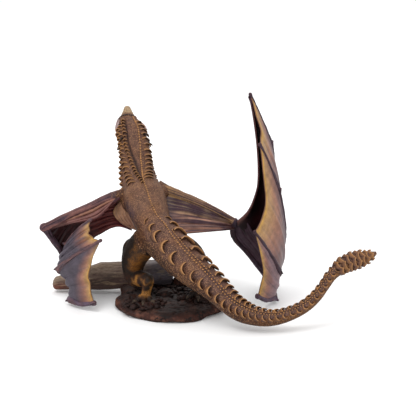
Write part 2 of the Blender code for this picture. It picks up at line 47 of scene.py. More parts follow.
FINGER_RADIUS = 2.5
KNUCKLE_RADIUS = 4.0
ARM_RADIUS = 5.6
CLAW_LENGTH = 8.0
MOUND_LENGTH, MOUND_DEPTH, MOUND_HEIGHT, MOUND_BACK = 108.0, 98.0, 10.0, 4.5
LOG_LENGTH, LOG_DIAMETER, LOG_TIP_DIAMETER = 128.0, 29.0, 13.0
LOG_START_X, LOG_FROM_EDGE = 2.0, 7.5

# Body stations from snout to tail tip: place, half width, half height, direction of the back
BODY = (
    ((-47.8, 106.5, 185.5), 3.2, 3.0, (0.2, -1, 0.6)),
    ((-47.2, 101, 181.5), 5.2, 4.7, (0.2, -1, 0.6)),
    ((-46.0, 91, 173.5), 9.8, 7.8, (0.2, -1, 0.5)),
    ((-42.2, 79, 163.5), 14.2, 11.6, (0.2, -1, 0.4)),
    ((-37.8, 67, 150.5), 14.8, 13.0, (0.2, -1, 0.3)),
    ((-36.0, 57, 136), 15.6, 14.5, (0.2, -1, 0.4)),
    ((-32.5, 45, 119.5), 17.8, 17.0, (0.25, -1, 0.6)),
    ((-26.5, 30, 106), 21.5, 18.5, (0.3, -0.8, 0.8)),
    ((-20.5, 13, 94), 19.5, 17.5, (0.3, -0.6, 0.9)),
    ((-15.0, 0, 85), 18.0, 16.5, (0.3, -0.5, 0.9)),
    ((-7, -12, 76), 20.5, 17.5, (0.25, -0.5, 0.9)),
    ((7, -28, 65), 18.6, 17.2, (0.2, -0.5, 0.9)),
    ((21, -40, 55.5), 17.0, 15.8, (0.1, -0.5, 1)),
    ((44.3, -53, 39.5), 13.2, 12.6, (0.1, -0.5, 1)),
    ((65.6, -62, 22), 11.0, 10.6, (0.05, -0.4, 1)),
    ((83, -66, 15.2), 8.9, 8.6, (0, -0.4, 1)),
    ((100, -67, 13.6), 7.3, 7.0, (0, -0.4, 1)),
    ((116.8, -66, 17.6), 6.3, 6.1, (-0.1, -0.4, 1)),
    ((131.8, -63, 24.5), 5.7, 5.5, (-0.2, -0.4, 1)),
    ((142.6, -59, 33.2), 5.3, 5.1, (-0.3, -0.4, 1)),
    ((150, -55, 42), 5.0, 4.8, (-0.4, -0.4, 1)),
    ((158, -50, 52), 5.4, 5.2, (-0.4, -0.4, 1)),
    ((167.5, -46, 59.5), 7.0, 6.8, (-0.3, -0.4, 1)),
    ((176.4, -43, 63.1), 7.8, 7.6, (-0.2, -0.4, 1)),
    ((186.5, -40, 65.2), 7.0, 6.8, (-0.1, -0.4, 1)),
    ((195.4, -38, 67.6), 4.6, 4.4, (0, -0.4, 1)),
    ((202, -36, 70), 1.5, 1.5, (0, -0.4, 1)),
)
CLUB = (0.905, 0.985)       # overlapping bands at the end of the tail
BODY_LENGTH = 402.0
WEB_ROOT = 0.05             # where a web starts, as a share of its bones' length

# How the keel of the back wanders round the body: share of the length, angle from the back's middle
KEEL = ((0.0, -30), (0.09, -26), (0.14, -12), (0.18, -10), (0.25, 4), (0.31, 8), (0.345, 6), (0.373, -3),
        (0.43, 0), (0.50, 3), (0.54, 9), (0.57, 18), (0.60, 22), (0.64, 16), (0.70, 12), (0.80, 13),
        (0.90, 14), (1.0, 14))
# Half the angle between the tail's two rows of crescents
SPREAD = ((0.33, 38), (0.40, 40), (0.46, 46), (0.53, 49), (0.58, 44), (0.63, 36), (0.70, 38), (0.80, 45),
          (0.90, 44))
# Stations of the hoods in the tail's two rows, and how far they are swept outwards in radians
LEFT_ROW = (0.348, 0.368, 0.394, 0.427, 0.460, 0.489, 0.513, 0.537, 0.560, 0.582, 0.601, 0.617, 0.632,
            0.647, 0.661, 0.676, 0.691, 0.706, 0.722, 0.738, 0.754, 0.770, 0.786, 0.803, 0.819, 0.835,
            0.851, 0.867, 0.882, 0.896)
RIGHT_ROW = (0.353, 0.374, 0.402, 0.434, 0.470, 0.503, 0.528, 0.549, 0.567, 0.583, 0.598, 0.613, 0.628,
             0.643, 0.658, 0.673, 0.688, 0.704, 0.720, 0.737, 0.754, 0.771, 0.788, 0.806, 0.823, 0.840,
             0.857, 0.874, 0.890)
LEFT_SWEEP, RIGHT_SWEEP = 0.62, 0.42
# Where the neck's crest lies on its left and the bands on its right: share of the length, angle from the keel
NECK_CREST = ((0.053, 62), (0.09, 60), (0.122, 62), (0.143, 50), (0.166, 38), (0.192, 26), (0.224, 10),
              (0.245, 4))
NECK_RIGHT = ((0.05, -28), (0.09, -30), (0.13, -34), (0.16, -36), (0.19, -26), (0.22, -14))

# Places on the head: share of the body's length and angle from the crown
EYE, NOSTRIL, MOUTH_ANGLE = (0.046, 106), (0.009, 47), 124
# Station on the head, angle from the crown, length, radius and backward lean
HORNS = (
    (0.100, 52, 8, 3.0, 1.0),
    (0.118, 78, 6.5, 2.8, 1.1),
    (0.080, 70, 5.5, 2.4, 0.9),
    (0.060, 55, 4.5, 2.0, 0.6),
    (0.100, 112, 8, 2.6, 1.2),
)
# How much of that length, radius and lean the finished horns have
HORN_TRIM = (0.85, 0.55, 0.7)
# Frill behind the left jaw: station, angle and how far it stands out
FRILL = ((0.026, 84, 1.4), (0.036, 86, 3.8), (0.048, 88, 5.0), (0.060, 90, 4.6), (0.072, 93, 2.0))

LEFT_SHOULDER, LEFT_ELBOW, LEFT_WRIST = (-38, 40, 110), (-125, 0, 84.5), (-98, 28, 12.5)
RIGHT_SHOULDER, RIGHT_ELBOW, RIGHT_WRIST = (-14, 44, 114), (65, 34, 81), (103.5, 62, 8)
LEFT_ARM = (LEFT_SHOULDER, (-62, 35, 105.5), (-83, 24, 98.5), (-105, 10.5, 92), LEFT_ELBOW)
LEFT_FOREARM = (LEFT_ELBOW, (-116.5, 9, 65.5), (-106, 18, 45), LEFT_WRIST)
RIGHT_ARM = (RIGHT_SHOULDER, (14, 46, 103), (39, 42, 93), RIGHT_ELBOW)
RIGHT_FOREARM = (RIGHT_ELBOW, (65, 43, 62), (80.5, 54, 40), RIGHT_WRIST)

# Wing fingers, wrist to tip; the knuckle is the fourth point of each
RIGHT_FINGERS = (
    (RIGHT_WRIST, (105, 45, 74), (103.5, 22, 139), (100, 10, 167), (88.8, -4, 197.5), (78.5, -15, 222)),
    (RIGHT_WRIST, (110, 38, 33), (116, 15, 73), (107.5, -9, 124), (97, -24, 155), (87.5, -35, 177.6)),
    (RIGHT_WRIST, (107, 40, 14), (110, 14, 28), (109.5, -4, 41), (97, -26, 69), (83, -45, 94)),
    (RIGHT_WRIST, (105, 44, 5), (106.5, 28, 5), (105.5, 13, 5.6), (97, 0, 8), (88, -12, 16)),
)
LEFT_FINGERS = (
    (LEFT_WRIST, (-101, 22, 30), (-104, 14, 50), (-104, 8, 64.7), (-92, -4, 83), (-78, -14, 96.7)),
    (LEFT_WRIST, (-103, 22, 20), (-109, 12, 31), (-113, 2, 41), (-91.5, -15, 62), (-67, -30, 80.4)),
    (LEFT_WRIST, (-100, 21, 9), (-102, 13, 7), (-102.5, 5, 6), (-91, -6, 5.6), (-77, -14, 9.5)),
)
# Free edges of the webs between arm and flank, hip outwards
RIGHT_TRAIL_ARM = ((0, -5, 79), (30, 8, 77.5), (52, 16, 77), (68, 38, 72))
RIGHT_TRAIL_FINGER = ((62, 35, 76), (78, 27, 93), (86, 24, 112), (88.4, 18, 130), (86.5, 5, 166),
                      (79.5, -14, 218))
ELBOW_WEB_EDGE = ((74, 32, 89), (106, 57, 28))
LEFT_TRAIL = ((-36, 14, 76), (-54.6, 28, 77), (-70, 27, 70.6), (-84, 27, 58), LEFT_WRIST)
LEFT_FOLD = ((-52, 31, 109), (-65, 18, 98), (-75, 10, 91), (-100, 4, 87), (-124, -1, 82))
FLANK_ROOT = ((-44, 32, 104), (-40, 26, 97), (-37, 20, 90), (-33, 14, 82), (-30, 10, 78))
FLANK_EDGE = ((-50, 33, 104.5), (-57.5, 31, 96), (-58, 28, 89.5), (-51, 23, 83), (-38, 14, 80))

# Hind legs: hip, knee, ankle and ball of the foot, with the radius of each stretch
LEFT_LEG = ((-23, -2, 72), (-36, 8, 52), (-38.5, 13, 29), (-30, -1, 31), (-22, -14, 34), (-23.5, -12, 24),
            (-25, -11, 15))
LEFT_LEG_RADII = (15, 13.4, 9, 8, 6.2, 4.8, 4.6)
RIGHT_LEG = ((2, 4, 67), (20, 20, 49), (31, 31, 29), (27, 18, 30), (23, 5, 33), (25, 4, 24), (27, 4, 15.5))
RIGHT_LEG_RADII = (15, 14, 8.5, 8, 6.2, 4.8, 4.6)
LEFT_TOES = ((-33, -18, 12), (-26, -22, 12), (-19, -19, 12))
RIGHT_TOES = ((20, -6, 12), (28, -9, 12), (36, -4, 12))

# Stones in the mound: place as a share of its half sizes, then half sizes in millimetres
STONES = (
    (-0.10, 0.15, 9, 9, 6),
    (0.52, 0.63, 12, 10, 6),
    (0.86, -0.40, 7, 11, 4),
    (-0.72, -0.14, 9, 12, 4),
    (0.20, 0.76, 11, 8, 12),
    (-0.80, 0.46, 10, 14, 5),
)

# Grain at which each skin is cast in millimetres, and the share of its triangles that is kept
NECK_GRAIN, TRUNK_GRAIN, TAIL_GRAIN, BONE_GRAIN, ROCK_GRAIN = 0.48, 0.60, 0.46, 0.62, 1.0
NECK_KEPT, TRUNK_KEPT, TAIL_KEPT, BONES_KEPT = 0.76, 0.6, 0.7, 0.7
# Spacing and depth of the scales
NECK_SCALE, TRUNK_SCALE, TAIL_SCALE = 1.22, 1.38, 1.42
NECK_SCALE_DEPTH, TRUNK_SCALE_DEPTH, TAIL_SCALE_DEPTH = 0.28, 0.34, 0.30
BELLY_PLATES = 62           # plates under throat and belly, counted as if they ran the whole length
PLATE_DEPTH = 0.7
MOUTH_SHADE = 0.6           # how dark the skin is in the mouth of a hood

# Paints as they look in a bright room, and how much deeper they are than they look there
PAINT_DEPTH, PAINT_STRENGTH = 0.58, 1.22
PAINTS = {
    # dark shade and wash: the statue's own dark wash, also used as painted shade in recesses and on
    # undersides
    "dark shade and wash": (34, 21, 17), "hide brown": (116, 82, 66), "hide grey": (107, 81, 74),
    "belly brown": (86, 52, 36), "dry gold": (206, 160, 122), "deep gold": (200, 146, 92),
    "sand": (196, 172, 142), "thigh black": (40, 30, 24), "wine": (112, 58, 54), "smoke": (92, 84, 94),
    "thigh gold": (134, 90, 52), "violet grey": (112, 96, 112), "slate violet": (76, 64, 76),
    "bone purple": (76, 54, 62), "rose": (178, 134, 114), "dusty rose": (146, 106, 100),
    "pale rose": (196, 152, 132), "tan": (196, 158, 118), "web gold": (212, 168, 106),
    "orange": (206, 128, 78), "maroon": (74, 28, 33), "inner black": (24, 12, 15),
    "frill pink": (224, 202, 200), "wood grey": (146, 128, 114), "wood shade": (96, 76, 70),
    "wood red": (112, 64, 54), "rock red": (70, 40, 33), "lilac": (152, 126, 130),
    "rock pale": (128, 88, 74), "rock black": (30, 20, 18), "slate": (122, 116, 124), "horn": (52, 40, 36),
    "amber": (214, 140, 34), "pupil": (12, 8, 8), "tooth": (214, 196, 160),
}

# View: tilt down in degrees, distance and target in metres, focal length and picture width in pixels
VIEW_TILT, VIEW_DISTANCE, VIEW_TARGET, VIEW_FOCAL, VIEW_WIDTH = 16, 1.2, (0.038, 0.0, 0.104), 1200, 416
SENSOR = 36.0
# Soft lamps: name, place, size and power
LAMPS = (("key", (-0.45, -0.55, 1.15), 0.6, 7.0), ("fill", (0.9, -0.7, 0.5), 1.0, 1.5),
         ("back", (0.1, 0.9, 0.9), 0.9, 3.0))
LAMP_TARGET, ROOM_LIGHT = (0.03, 0, 0.09), 1.08
FLOOR_REACH, FLOOR_LEVEL, FLOOR_WHITE = 3, -0.0002, 0.93


def paint(name):
    """One paint of the palette as the share of light it sends back."""
    light = PAINT_DEPTH * np.array([((c / 255 + 0.055) / 1.055) ** 2.4 for c in PAINTS[name]])
    return np.clip(light.mean() + (light - light.mean()) * PAINT_STRENGTH, 0.001, 1)


def mixed(one, two, share):
    """One paint turning into another, point by point; each is a name or colours mixed before."""
    one, two = (paint(p) if isinstance(p, str) else p for p in (one, two))
    share = np.atleast_1d(np.clip(np.asarray(share, float), 0, 1))[:, None]
    return one * (1 - share) + two * share


def ease(low, high, value):
    """0 below low, 1 above high, and smooth between."""
    t = np.clip((np.asarray(value, float) - low) / (high - low), 0, 1)
    return t * t * (3 - 2 * t)


def smooth(points):
    """Catmull-Rom curve through the points, as a function of a share from 0 to 1."""
    pts = [np.array(p, float) for p in points]
    pts = [2 * pts[0] - pts[1]] + pts + [2 * pts[-1] - pts[-2]]
    spans = len(pts) - 3

    def at(share):
        place = min(max(share, 0.0), 1.0) * spans
        i = min(int(place), spans - 1)
        t = place - i
        a, b, c, d = pts[i:i + 4]
        return 0.5 * (2 * b + (c - a) * t + (2 * a - 5 * b + 4 * c - d) * t ** 2
                      + (3 * b - a - 3 * c + d) * t ** 3)

    return at


def even_shares(curve, count, fine=400):
    """Shares that cut the curve into equal lengths."""
    shares = np.linspace(0, 1, fine + 1)
    places = np.array([curve(s)[:3] for s in shares])
    run = np.concatenate([[0], np.cumsum(np.linalg.norm(np.diff(places, axis=0), axis=1))])
    return np.interp(np.linspace(0, run[-1], count + 1), run, shares)


def stitched(rings):
    """Closed loft: rings of equal size joined in order, with a face on each end."""
    sides = len(rings[0])
    verts = [v for ring in rings for v in ring]
    faces = [tuple(range(sides))[::-1], tuple(range(len(verts) - sides, len(verts)))]
    for r in range(len(rings) - 1):
        for s in range(sides):
            a, b = r * sides + s, r * sides + (s + 1) % sides
            faces.append((a, b, b + sides, a + sides))
    return verts, faces


def limb(points, radii, step=2.5, sides=16):
    """Round limb through the points, with the radius given at each of them."""
    curve = smooth([tuple(p) + (r,) for p, r in zip(points, radii)])
    length = sum(math.dist(a, b) for a, b in zip(points, points[1:]))
    places = [curve(s) for s in even_shares(curve, max(3, round(length / step)))]
    up = Vector((0.31, -0.52, 0.79))
    rings = []
    for i, place in enumerate(places):
        ahead = Vector(places[min(i + 1, len(places) - 1)][:3]) - Vector(places[max(i - 1, 0)][:3])
        ahead.normalize()
        up = (up - ahead * up.dot(ahead)).normalized()
        side = ahead.cross(up)
        turns = [2 * math.pi * k / sides for k in range(sides)]
        rings.append([Vector(place[:3]) + (up * math.cos(t) + side * math.sin(t)) * place[3] for t in turns])
    return stitched(rings)


def egg(centre, radii, ahead=(1, 0, 0), up=(0, 0, 1)):
    """Swelling of flesh: an egg whose first radius lies along ahead."""
    bm = bmesh.new()
    bmesh.ops.create_icosphere(bm, subdivisions=4, radius=1.0)
    x = Vector(ahead).normalized()
    y = Vector(up).cross(x).normalized()
    z = x.cross(y)
    verts = [Vector(centre) + x * v.co.x * radii[0] + y * v.co.y * radii[1] + z * v.co.z * radii[2]
             for v in bm.verts]
    faces = [tuple(v.index for v in f.verts) for f in bm.faces]
    bm.free()
    return verts, faces


def body_frame():
    """Function giving the body's axis, half width, half height and directions at a share of its length."""
    curve = smooth([tuple(p) + (w, h) + tuple(Vector(d).normalized()) for p, w, h, d in BODY])
    table = even_shares(curve, 400)

    def at(share):
        s = float(np.interp(share, np.linspace(0, 1, len(table)), table))
        here = curve(s)
        ahead = Vector(curve(min(s + 0.004, 1))[:3]) - Vector(curve(max(s - 0.004, 0))[:3])
        ahead.normalize()
        back = Vector(here[5:8])
        back = (back - ahead * back.dot(ahead)).normalized()
        return Vector(here[:3]), here[3], here[4], back, ahead.cross(back), ahead

    return at


BODY_AT = body_frame()


def table_at(table, share):
    """Value between the rows of a table of shares and numbers."""
    return np.interp(share, *zip(*table))


def skin_point(share, angle, lift=0.0):
    """Point on the body's skin at an angle from the back's middle, with the outward direction there."""
    centre, wide, high, back, side, ahead = BODY_AT(share)
    turn = math.radians(angle)
    out = (back * math.cos(turn) * wide + side * math.sin(turn) * high).normalized()
    place = centre + back * math.cos(turn) * high + side * math.sin(turn) * wide
    return place + out * lift, out, ahead


def body_stretch(start, end, rings, sides=40):
    """Closed stretch of the body between two shares of its length."""
    loops = []
    for i in range(rings + 1):
        centre, wide, high, back, side, _ = BODY_AT(start + (end - start) * i / rings)
        turns = [2 * math.pi * k / sides for k in range(sides)]
        loops.append([centre + back * math.cos(t) * high + side * math.sin(t) * wide for t in turns])
    return stitched(loops)


# Meshes and their painted points

def made(name, verts, faces):
    """Mesh object from millimetres, with its faces turned outwards."""
    mesh = bpy.data.meshes.new(name)
    mesh.from_pydata([tuple(np.asarray(v, float) * MM) for v in verts], [], faces)
    bm = bmesh.new()
    bm.from_mesh(mesh)
    bmesh.ops.recalc_face_normals(bm, faces=bm.faces)
    bm.to_mesh(mesh)
    bm.free()
    obj = bpy.data.objects.new(name, mesh)
    bpy.context.collection.objects.link(obj)
    return obj


def gathered(shapes):
    """Vertices and faces of several shapes as one list."""
    verts, faces = [], []
    for v, f in shapes:
        faces += [tuple(i + len(verts) for i in face) for face in f]
        verts += list(v)
    return verts, faces


def baked(obj):
    """Applies what modifiers a piece carries and leaves it a plain mesh."""
    bpy.context.view_layer.update()
    mesh = bpy.data.meshes.new_from_object(obj.evaluated_get(bpy.context.evaluated_depsgraph_get()))
    mesh.name = obj.name
    obj.modifiers.clear()
    old, obj.data = obj.data, mesh
    bpy.data.meshes.remove(old)


def skinned(name, shapes, grain, polish=4):
    """One closed skin over overlapping shapes, cast at a given grain and polished."""
    obj = made(name, *gathered(shapes))
    cast = obj.modifiers.new("cast", "REMESH")
    cast.mode = "VOXEL"
    cast.voxel_size = grain * MM
    baked(obj)
    polished(obj, polish)
    return obj


def places(obj):
    """Vertex places in millimetres."""
    out = np.empty(len(obj.data.vertices) * 3)
    obj.data.vertices.foreach_get("co", out)
    return out.reshape(-1, 3) / MM


def set_places(obj, points):
    obj.data.vertices.foreach_set("co", (points * MM).ravel())
    obj.data.update()


def directions(obj):
    """Outward direction at each vertex."""
    out = np.empty(len(obj.data.vertices) * 3)
    obj.data.vertex_normals.foreach_get("vector", out)
    return out.reshape(-1, 3)


def neighbours(obj):
    ends = np.empty(len(obj.data.edges) * 2, int)
    obj.data.edges.foreach_get("vertices", ends)
    return ends.reshape(-1, 2)


def spread_out(values, ends, rounds):
    """Averages a value over each vertex's neighbours, several times."""
    count = len(values)
    flat = values.reshape(count, -1)
    degree = np.maximum(np.bincount(ends.ravel(), minlength=count), 1)[:, None]
    for _ in range(rounds):
        total = np.zeros_like(flat)
        for column in range(flat.shape[1]):
            total[:, column] = (np.bincount(ends[:, 0], flat[ends[:, 1], column], count)
                                + np.bincount(ends[:, 1], flat[ends[:, 0], column], count))
        flat = 0.5 * flat + 0.5 * total / degree
    return flat.reshape(values.shape)


def thinned(obj, share):
    """Keeps a share of the triangles, where the shape needs them most."""
    thin = obj.modifiers.new("thin", "DECIMATE")
    thin.ratio = share
    baked(obj)


def polished(obj, rounds):
    set_places(obj, spread_out(places(obj), neighbours(obj), rounds))


def store(obj, name, values):
    """Keeps a number or a colour for each vertex."""
    old = obj.data.attributes.get(name)
    if old:
        obj.data.attributes.remove(old)
    if values.ndim == 1:
        layer = obj.data.attributes.new(name, "FLOAT", "POINT")
        layer.data.foreach_set("value", values.astype(np.float32))
    else:
        layer = obj.data.attributes.new(name, "FLOAT_COLOR", "POINT")
        full = np.hstack([values, np.ones((len(values), 1))])
        layer.data.foreach_set("color", full.astype(np.float32).ravel())


def stored(obj, name):
    out = np.empty(len(obj.data.vertices))
    obj.data.attributes[name].data.foreach_get("value", out)
    return out


def noise_at(spots):
    """Soft noise at each spot."""
    return np.array([noise.noise(Vector(p)) for p in spots])


def mottle(points, size, shift=0.0, octaves=2):
    """Soft noise from about -1 to 1 with lumps of the given size in millimetres."""
    total = np.zeros(len(points))
    for octave in range(octaves):
        scale = 2 ** octave / size
        total += noise_at(points * scale + shift + 17.3 * octave) / 2 ** octave
    return total


def finished(obj, material, colour, relief=None, kept=1.0, cad_node="dragon", slot="painted_hide"):
    """Paints a piece, keeps a share of its triangles, gives it its material and hangs it on the root body in
    place of the CAD part it stands for.
    """
    store(obj, "paint", colour)
    if relief is not None:
        store(obj, "relief", relief)
    if kept < 1:
        thinned(obj, kept)
    obj.data.materials.clear()
    obj.data.materials.append(material)
    obj.data.shade_smooth()
    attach(obj, "root")
    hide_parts(cad_node)


# Paint materials

class Nodes:
    """Short way to lay out a material's nodes."""

    def __init__(self, name):
        self.material = bpy.data.materials.new(name)
        self.material.use_nodes = True
        self.tree = self.material.node_tree
        self.shader = self.tree.nodes["Principled BSDF"]

    def plug(self, node, key, value):
        """Joins a socket to an input, or gives the input a plain value."""
        if isinstance(value, bpy.types.NodeSocket):
            self.tree.links.new(value, node.inputs[key])
        else:
            node.inputs[key].default_value = value

    def add(self, kind, *inputs, **settings):
        """Node with settings or inputs given by name, then its first inputs in order."""
        node = self.tree.nodes.new("ShaderNode" + kind)
        for name, value in settings.items():
            if hasattr(node, name):
                setattr(node, name, value)
            else:
                self.plug(node, name, value)
        for key, value in enumerate(inputs):
            self.plug(node, key, value)
        return node

    def mix(self, share, one, colour):
        node = self.add("Mix", share, data_type="RGBA")
        self.plug(node, 6, one)
        self.plug(node, 7, (*colour, 1))
        return node.outputs[2]

    def ramp(self, *values):
        """Smooth step of a value: where it starts and ends, and what it is there."""
        return self.add("MapRange", *values, interpolation_type="SMOOTHSTEP").outputs[0]


def painted_finish(name, wash="dark shade and wash", glint="dry gold", wash_to=0.45, glint_from=0.72, glint_share=0.75,
                   speckle=1100.0, speckle_share=0.3, roughness=(0.5, 0.72), bump=0.25, streaks=None):
    """Base paint from the piece, a dark wash in its recesses that also stands as painted shade, and a
    dry-brushed colour on its ridges.
    """
    n = Nodes(name)
    where = n.add("TexCoord").outputs["Object"]
    if streaks:
        where = n.add("Mapping", Vector=where, Scale=streaks).outputs[0]
    base = n.add("Attribute", attribute_name="paint").outputs["Color"]
    relief = n.add("Attribute", attribute_name="relief").outputs["Fac"]
    fine = n.add("TexNoise", Vector=where, Scale=speckle, Detail=4.0, Roughness=0.62).outputs[0]
    broad = n.add("TexNoise", Vector=where, Scale=140.0, Detail=3.0, Roughness=0.55).outputs[0]
    light = n.ramp(broad, 0.3, 0.7, 0.82, 1.16)
    toned = n.add("HueSaturation", Value=light, Color=base).outputs[0]
    grain = n.ramp(fine, 0.3, 0.72, 1 - speckle_share, 1 + speckle_share * 0.8)
    grained = n.add("HueSaturation", Value=grain, Color=toned).outputs[0]
    height = n.add("Math", relief, n.ramp(fine, 0.25, 0.75, -0.12, 0.12), operation="ADD").outputs[0]
    # the recesses darken towards the wash colour: the statue's own wash and painted shade together
    washed_and_shaded = n.mix(n.ramp(height, 0.02, wash_to, 1.0, 0.0), grained, paint(wash))
    brushed = n.mix(n.ramp(height, glint_from, 1.02, 0.0, glint_share), washed_and_shaded, paint(glint))
    n.plug(n.shader, "Base Color", brushed)
    n.plug(n.shader, "Roughness", n.ramp(fine, 0.25, 0.75, *roughness))
    n.shader.inputs["Specular IOR Level"].default_value = 0.2
    rough = n.add("Bump", Strength=bump, Distance=0.0004, Height=fine)
    n.plug(n.shader, "Normal", rough.outputs[0])
    return n.material


# Scales of the hide

def scattered(points, spacing, seed):
    """Indices of points no closer together than the spacing given at each of them."""
    order = np.random.default_rng(seed).permutation(len(points))
    cell = float(spacing.max())
    grid = {}
    chosen = []
    keys = np.floor(points / cell).astype(int)
    around = [(x, y, z) for x in (-1, 0, 1) for y in (-1, 0, 1) for z in (-1, 0, 1)]
    for i in order:
        kx, ky, kz = keys[i]
        px, py, pz = points[i]
        reach = spacing[i] ** 2
        clear = True
        for dx, dy, dz in around:
            for qx, qy, qz in grid.get((kx + dx, ky + dy, kz + dz), ()):
                if (px - qx) ** 2 + (py - qy) ** 2 + (pz - qz) ** 2 < reach:
                    clear = False
                    break
            if not clear:
                break
        if clear:
            grid.setdefault((kx, ky, kz), []).append((px, py, pz))
            chosen.append(i)
    return np.array(chosen)


def scaly(obj, spacing, depth, seed, flow=None, lean=0.3):
    """Raises a pebble of hide round each scattered seed, and keeps the height as the relief."""
    points = places(obj)
    chosen = scattered(points, spacing, seed)
    tree = KDTree(len(chosen))
    for k, i in enumerate(chosen):
        tree.insert(points[i], k)
    tree.balance()
    first, second, owner = np.empty(len(points)), np.empty(len(points)), np.empty(len(points), int)
    for i, p in enumerate(points):
        (_, k, a), (_, _, b) = tree.find_n(p, 2)
        first[i], second[i], owner[i] = a, b, k
    wide = spacing[chosen][owner]
    groove = (second - first) / wide
    dome = 1 - (1 - np.clip(groove / 0.55, 0, 1)) ** 2
    size = np.random.default_rng(seed + 1).uniform(0.75, 1.1, len(chosen))[owner]
    relief = dome * size
    if flow is not None:
        along = np.einsum("ij,ij->i", points - points[chosen][owner], flow) / wide
        relief = relief * (1 + lean * along)
    relief = np.clip(relief, 0, 1.1)
    set_places(obj, points + directions(obj) * ((relief - 0.6) * depth)[:, None])
    return relief


def body_places(points):
    """For each point: share of the body's length, angle from the keel, skin radii away, way to the tail."""
    shares = np.linspace(0, 1, 601)
    frames = [BODY_AT(s) for s in shares]
    tree = KDTree(len(shares))
    for i, f in enumerate(frames):
        tree.insert(f[0], i)
    tree.balance()
    near = np.array([tree.find(p)[1] for p in points])
    table = np.array([list(f[0]) + [f[1], f[2]] + list(f[3]) + list(f[4]) + list(f[5]) for f in frames])[near]
    away = points - table[:, :3]
    up = np.einsum("ij,ij->i", away, table[:, 5:8])
    across = np.einsum("ij,ij->i", away, table[:, 8:11])
    turn = np.degrees(np.arctan2(across / table[:, 3], up / table[:, 4]))
    reach = np.hypot(across / table[:, 3], up / table[:, 4])
    share = shares[near]
    turn = (turn - table_at(KEEL, share) + 180) % 360 - 180
    return share, turn, reach, table[:, 11:14]


def legs():
    """Both hind legs with their toes, cut level at the soles by the mound."""
    shapes = []
    for path, radii, toes in ((LEFT_LEG, LEFT_LEG_RADII, LEFT_TOES),
                              (RIGHT_LEG, RIGHT_LEG_RADII, RIGHT_TOES)):
        shapes.append(limb(path, radii, 2.5, 24))
        ball = Vector(path[-1])
        hock, knee = Vector(path[4]), Vector(path[1])
        shapes.append(egg(hock + Vector((0, -1.5, 0.5)), (5.6, 5.0, 6.4), (0, 0, 1), (0, 1, 0)))
        if path is LEFT_LEG:
            shapes.append(egg(knee + Vector((0, 1.5, 4)), (16, 11, 12.6), (0.2, 0.3, -1), (1, 0, 0)))
        for toe in toes:
            end = Vector(toe)
            knuckle = ball.lerp(end, 0.55) + Vector((0, 0, 2.4))
            bones = (tuple(ball), tuple(knuckle), tuple(end + Vector((0, 0, 1.6))))
            shapes.append(limb(bones, (4.2, 3.4, 2.9), 1.5, 14))
            shapes.append(egg(end + Vector((0, 0, 1.5)), (3.4, 3.0, 2.7), end - ball))
    return shapes


def claws(finish):
    """Nails of the toes, curved forwards and down to the rock."""
    nails = []
    for path, toes in ((LEFT_LEG, LEFT_TOES), (RIGHT_LEG, RIGHT_TOES)):
        for toe in toes:
            end = Vector(toe) + Vector((0, 0, 1.6))
            ahead = Vector(toe) - Vector(path[-1])
            ahead = Vector((ahead.x, ahead.y, 0)).normalized()
            tip = end + ahead * CLAW_LENGTH * 0.85 - Vector((0, 0, 1.6))
            bend = end.lerp(tip, 0.55) + Vector((0, 0, 1.0))
            nails.append(limb((tuple(end), tuple(bend), tuple(tip)), (2.5, 1.9, 0.4), 0.6, 14))
    obj = made("claws", *gathered(nails))
    level_soles(obj)
    points = places(obj)
    finished(obj, finish, mixed("horn", "sand", 0.05 + 0.25 * mottle(points, 3)),
             np.clip(0.5 + 0.4 * mottle(points, 1.2), 0.05, 1))


def level_soles(obj):
    """Presses what is under the soles up to the mound's top."""
    points = places(obj)
    points[:, 2] = np.maximum(points[:, 2], SOLE + 0.05)
    set_places(obj, points)


def jaw():
    throat, _, _ = skin_point(0.085, 180, -4.0)
    chin, out, _ = skin_point(0.018, 180, 2.8)
    middle = (throat + chin) / 2 + out * 2.0
    return limb([tuple(throat), tuple(middle), tuple(chin)], (6.0, 4.8, 2.4), 1.5, 20)


def head_swellings():
    """Cheeks, brow ridges and nostrils, on both sides of the head."""
    shapes = [jaw()]
    for sign in (1, -1):
        for share, angle, lift, radii in (
                (0.085, 84, -2.2, (7, 3.2, 4.4)), (0.050, 50, -0.9, (5.6, 2.0, 1.8)),
                (0.012, 42, -0.7, (2.4, 1.5, 1.3)), (0.030, 20, -1.0, (6.5, 1.8, 1.2))):
            place, out, ahead = skin_point(share, sign * angle, lift)
            shapes.append(egg(place, radii, ahead, out))
    return shapes


def back_paint(points, share, turn, outward):
    """Paint of the head, neck and trunk before the washes, with painted shade where the skin faces down."""
    upper = np.abs(turn)
    base = mixed("hide brown", "hide grey", 0.5 + 0.6 * mottle(points, 16))
    base = mixed(base, "dry gold", 0.08 * ease(0.20, 0.26, share) * (1 - ease(0.31, 0.37, share))
                 * (1 - ease(45, 85, upper)))
    base = mixed(base, "belly brown", ease(60, 105, upper) * ease(0.10, 0.2, share) * 0.9)
    base = mixed(base, "sand", (1 - ease(0.022, 0.034, share)) * 0.9)
    # painted shadow of the left wing: the flank under it is painted slate violet
    slate = ease(48, 80, turn) * ease(0.25, 0.29, share) * (1 - ease(0.31, 0.36, share))
    base = mixed(base, "slate violet", 0.7 * slate)
    hip = ease(55, 85, upper) * ease(0.31, 0.36, share)
    shaded = mixed("belly brown", "dark shade and wash", 0.45 + 0.5 * mottle(points, 11, 6.0))
    base = mixed(base, shaded, 0.9 * hip)
    # painted shade: skin that faces downwards is darkened
    return mixed(base, "dark shade and wash", 0.55 * ease(-0.1, 0.9, -outward[:, 2]))


def belly_plates(share):
    """Height of the broad plates under throat and belly, from 0 to 1."""
    step = (share * BELLY_PLATES) % 1.0
    return np.clip(step * 1.6, 0, 1) * (1 - ease(0.86, 1.0, step))


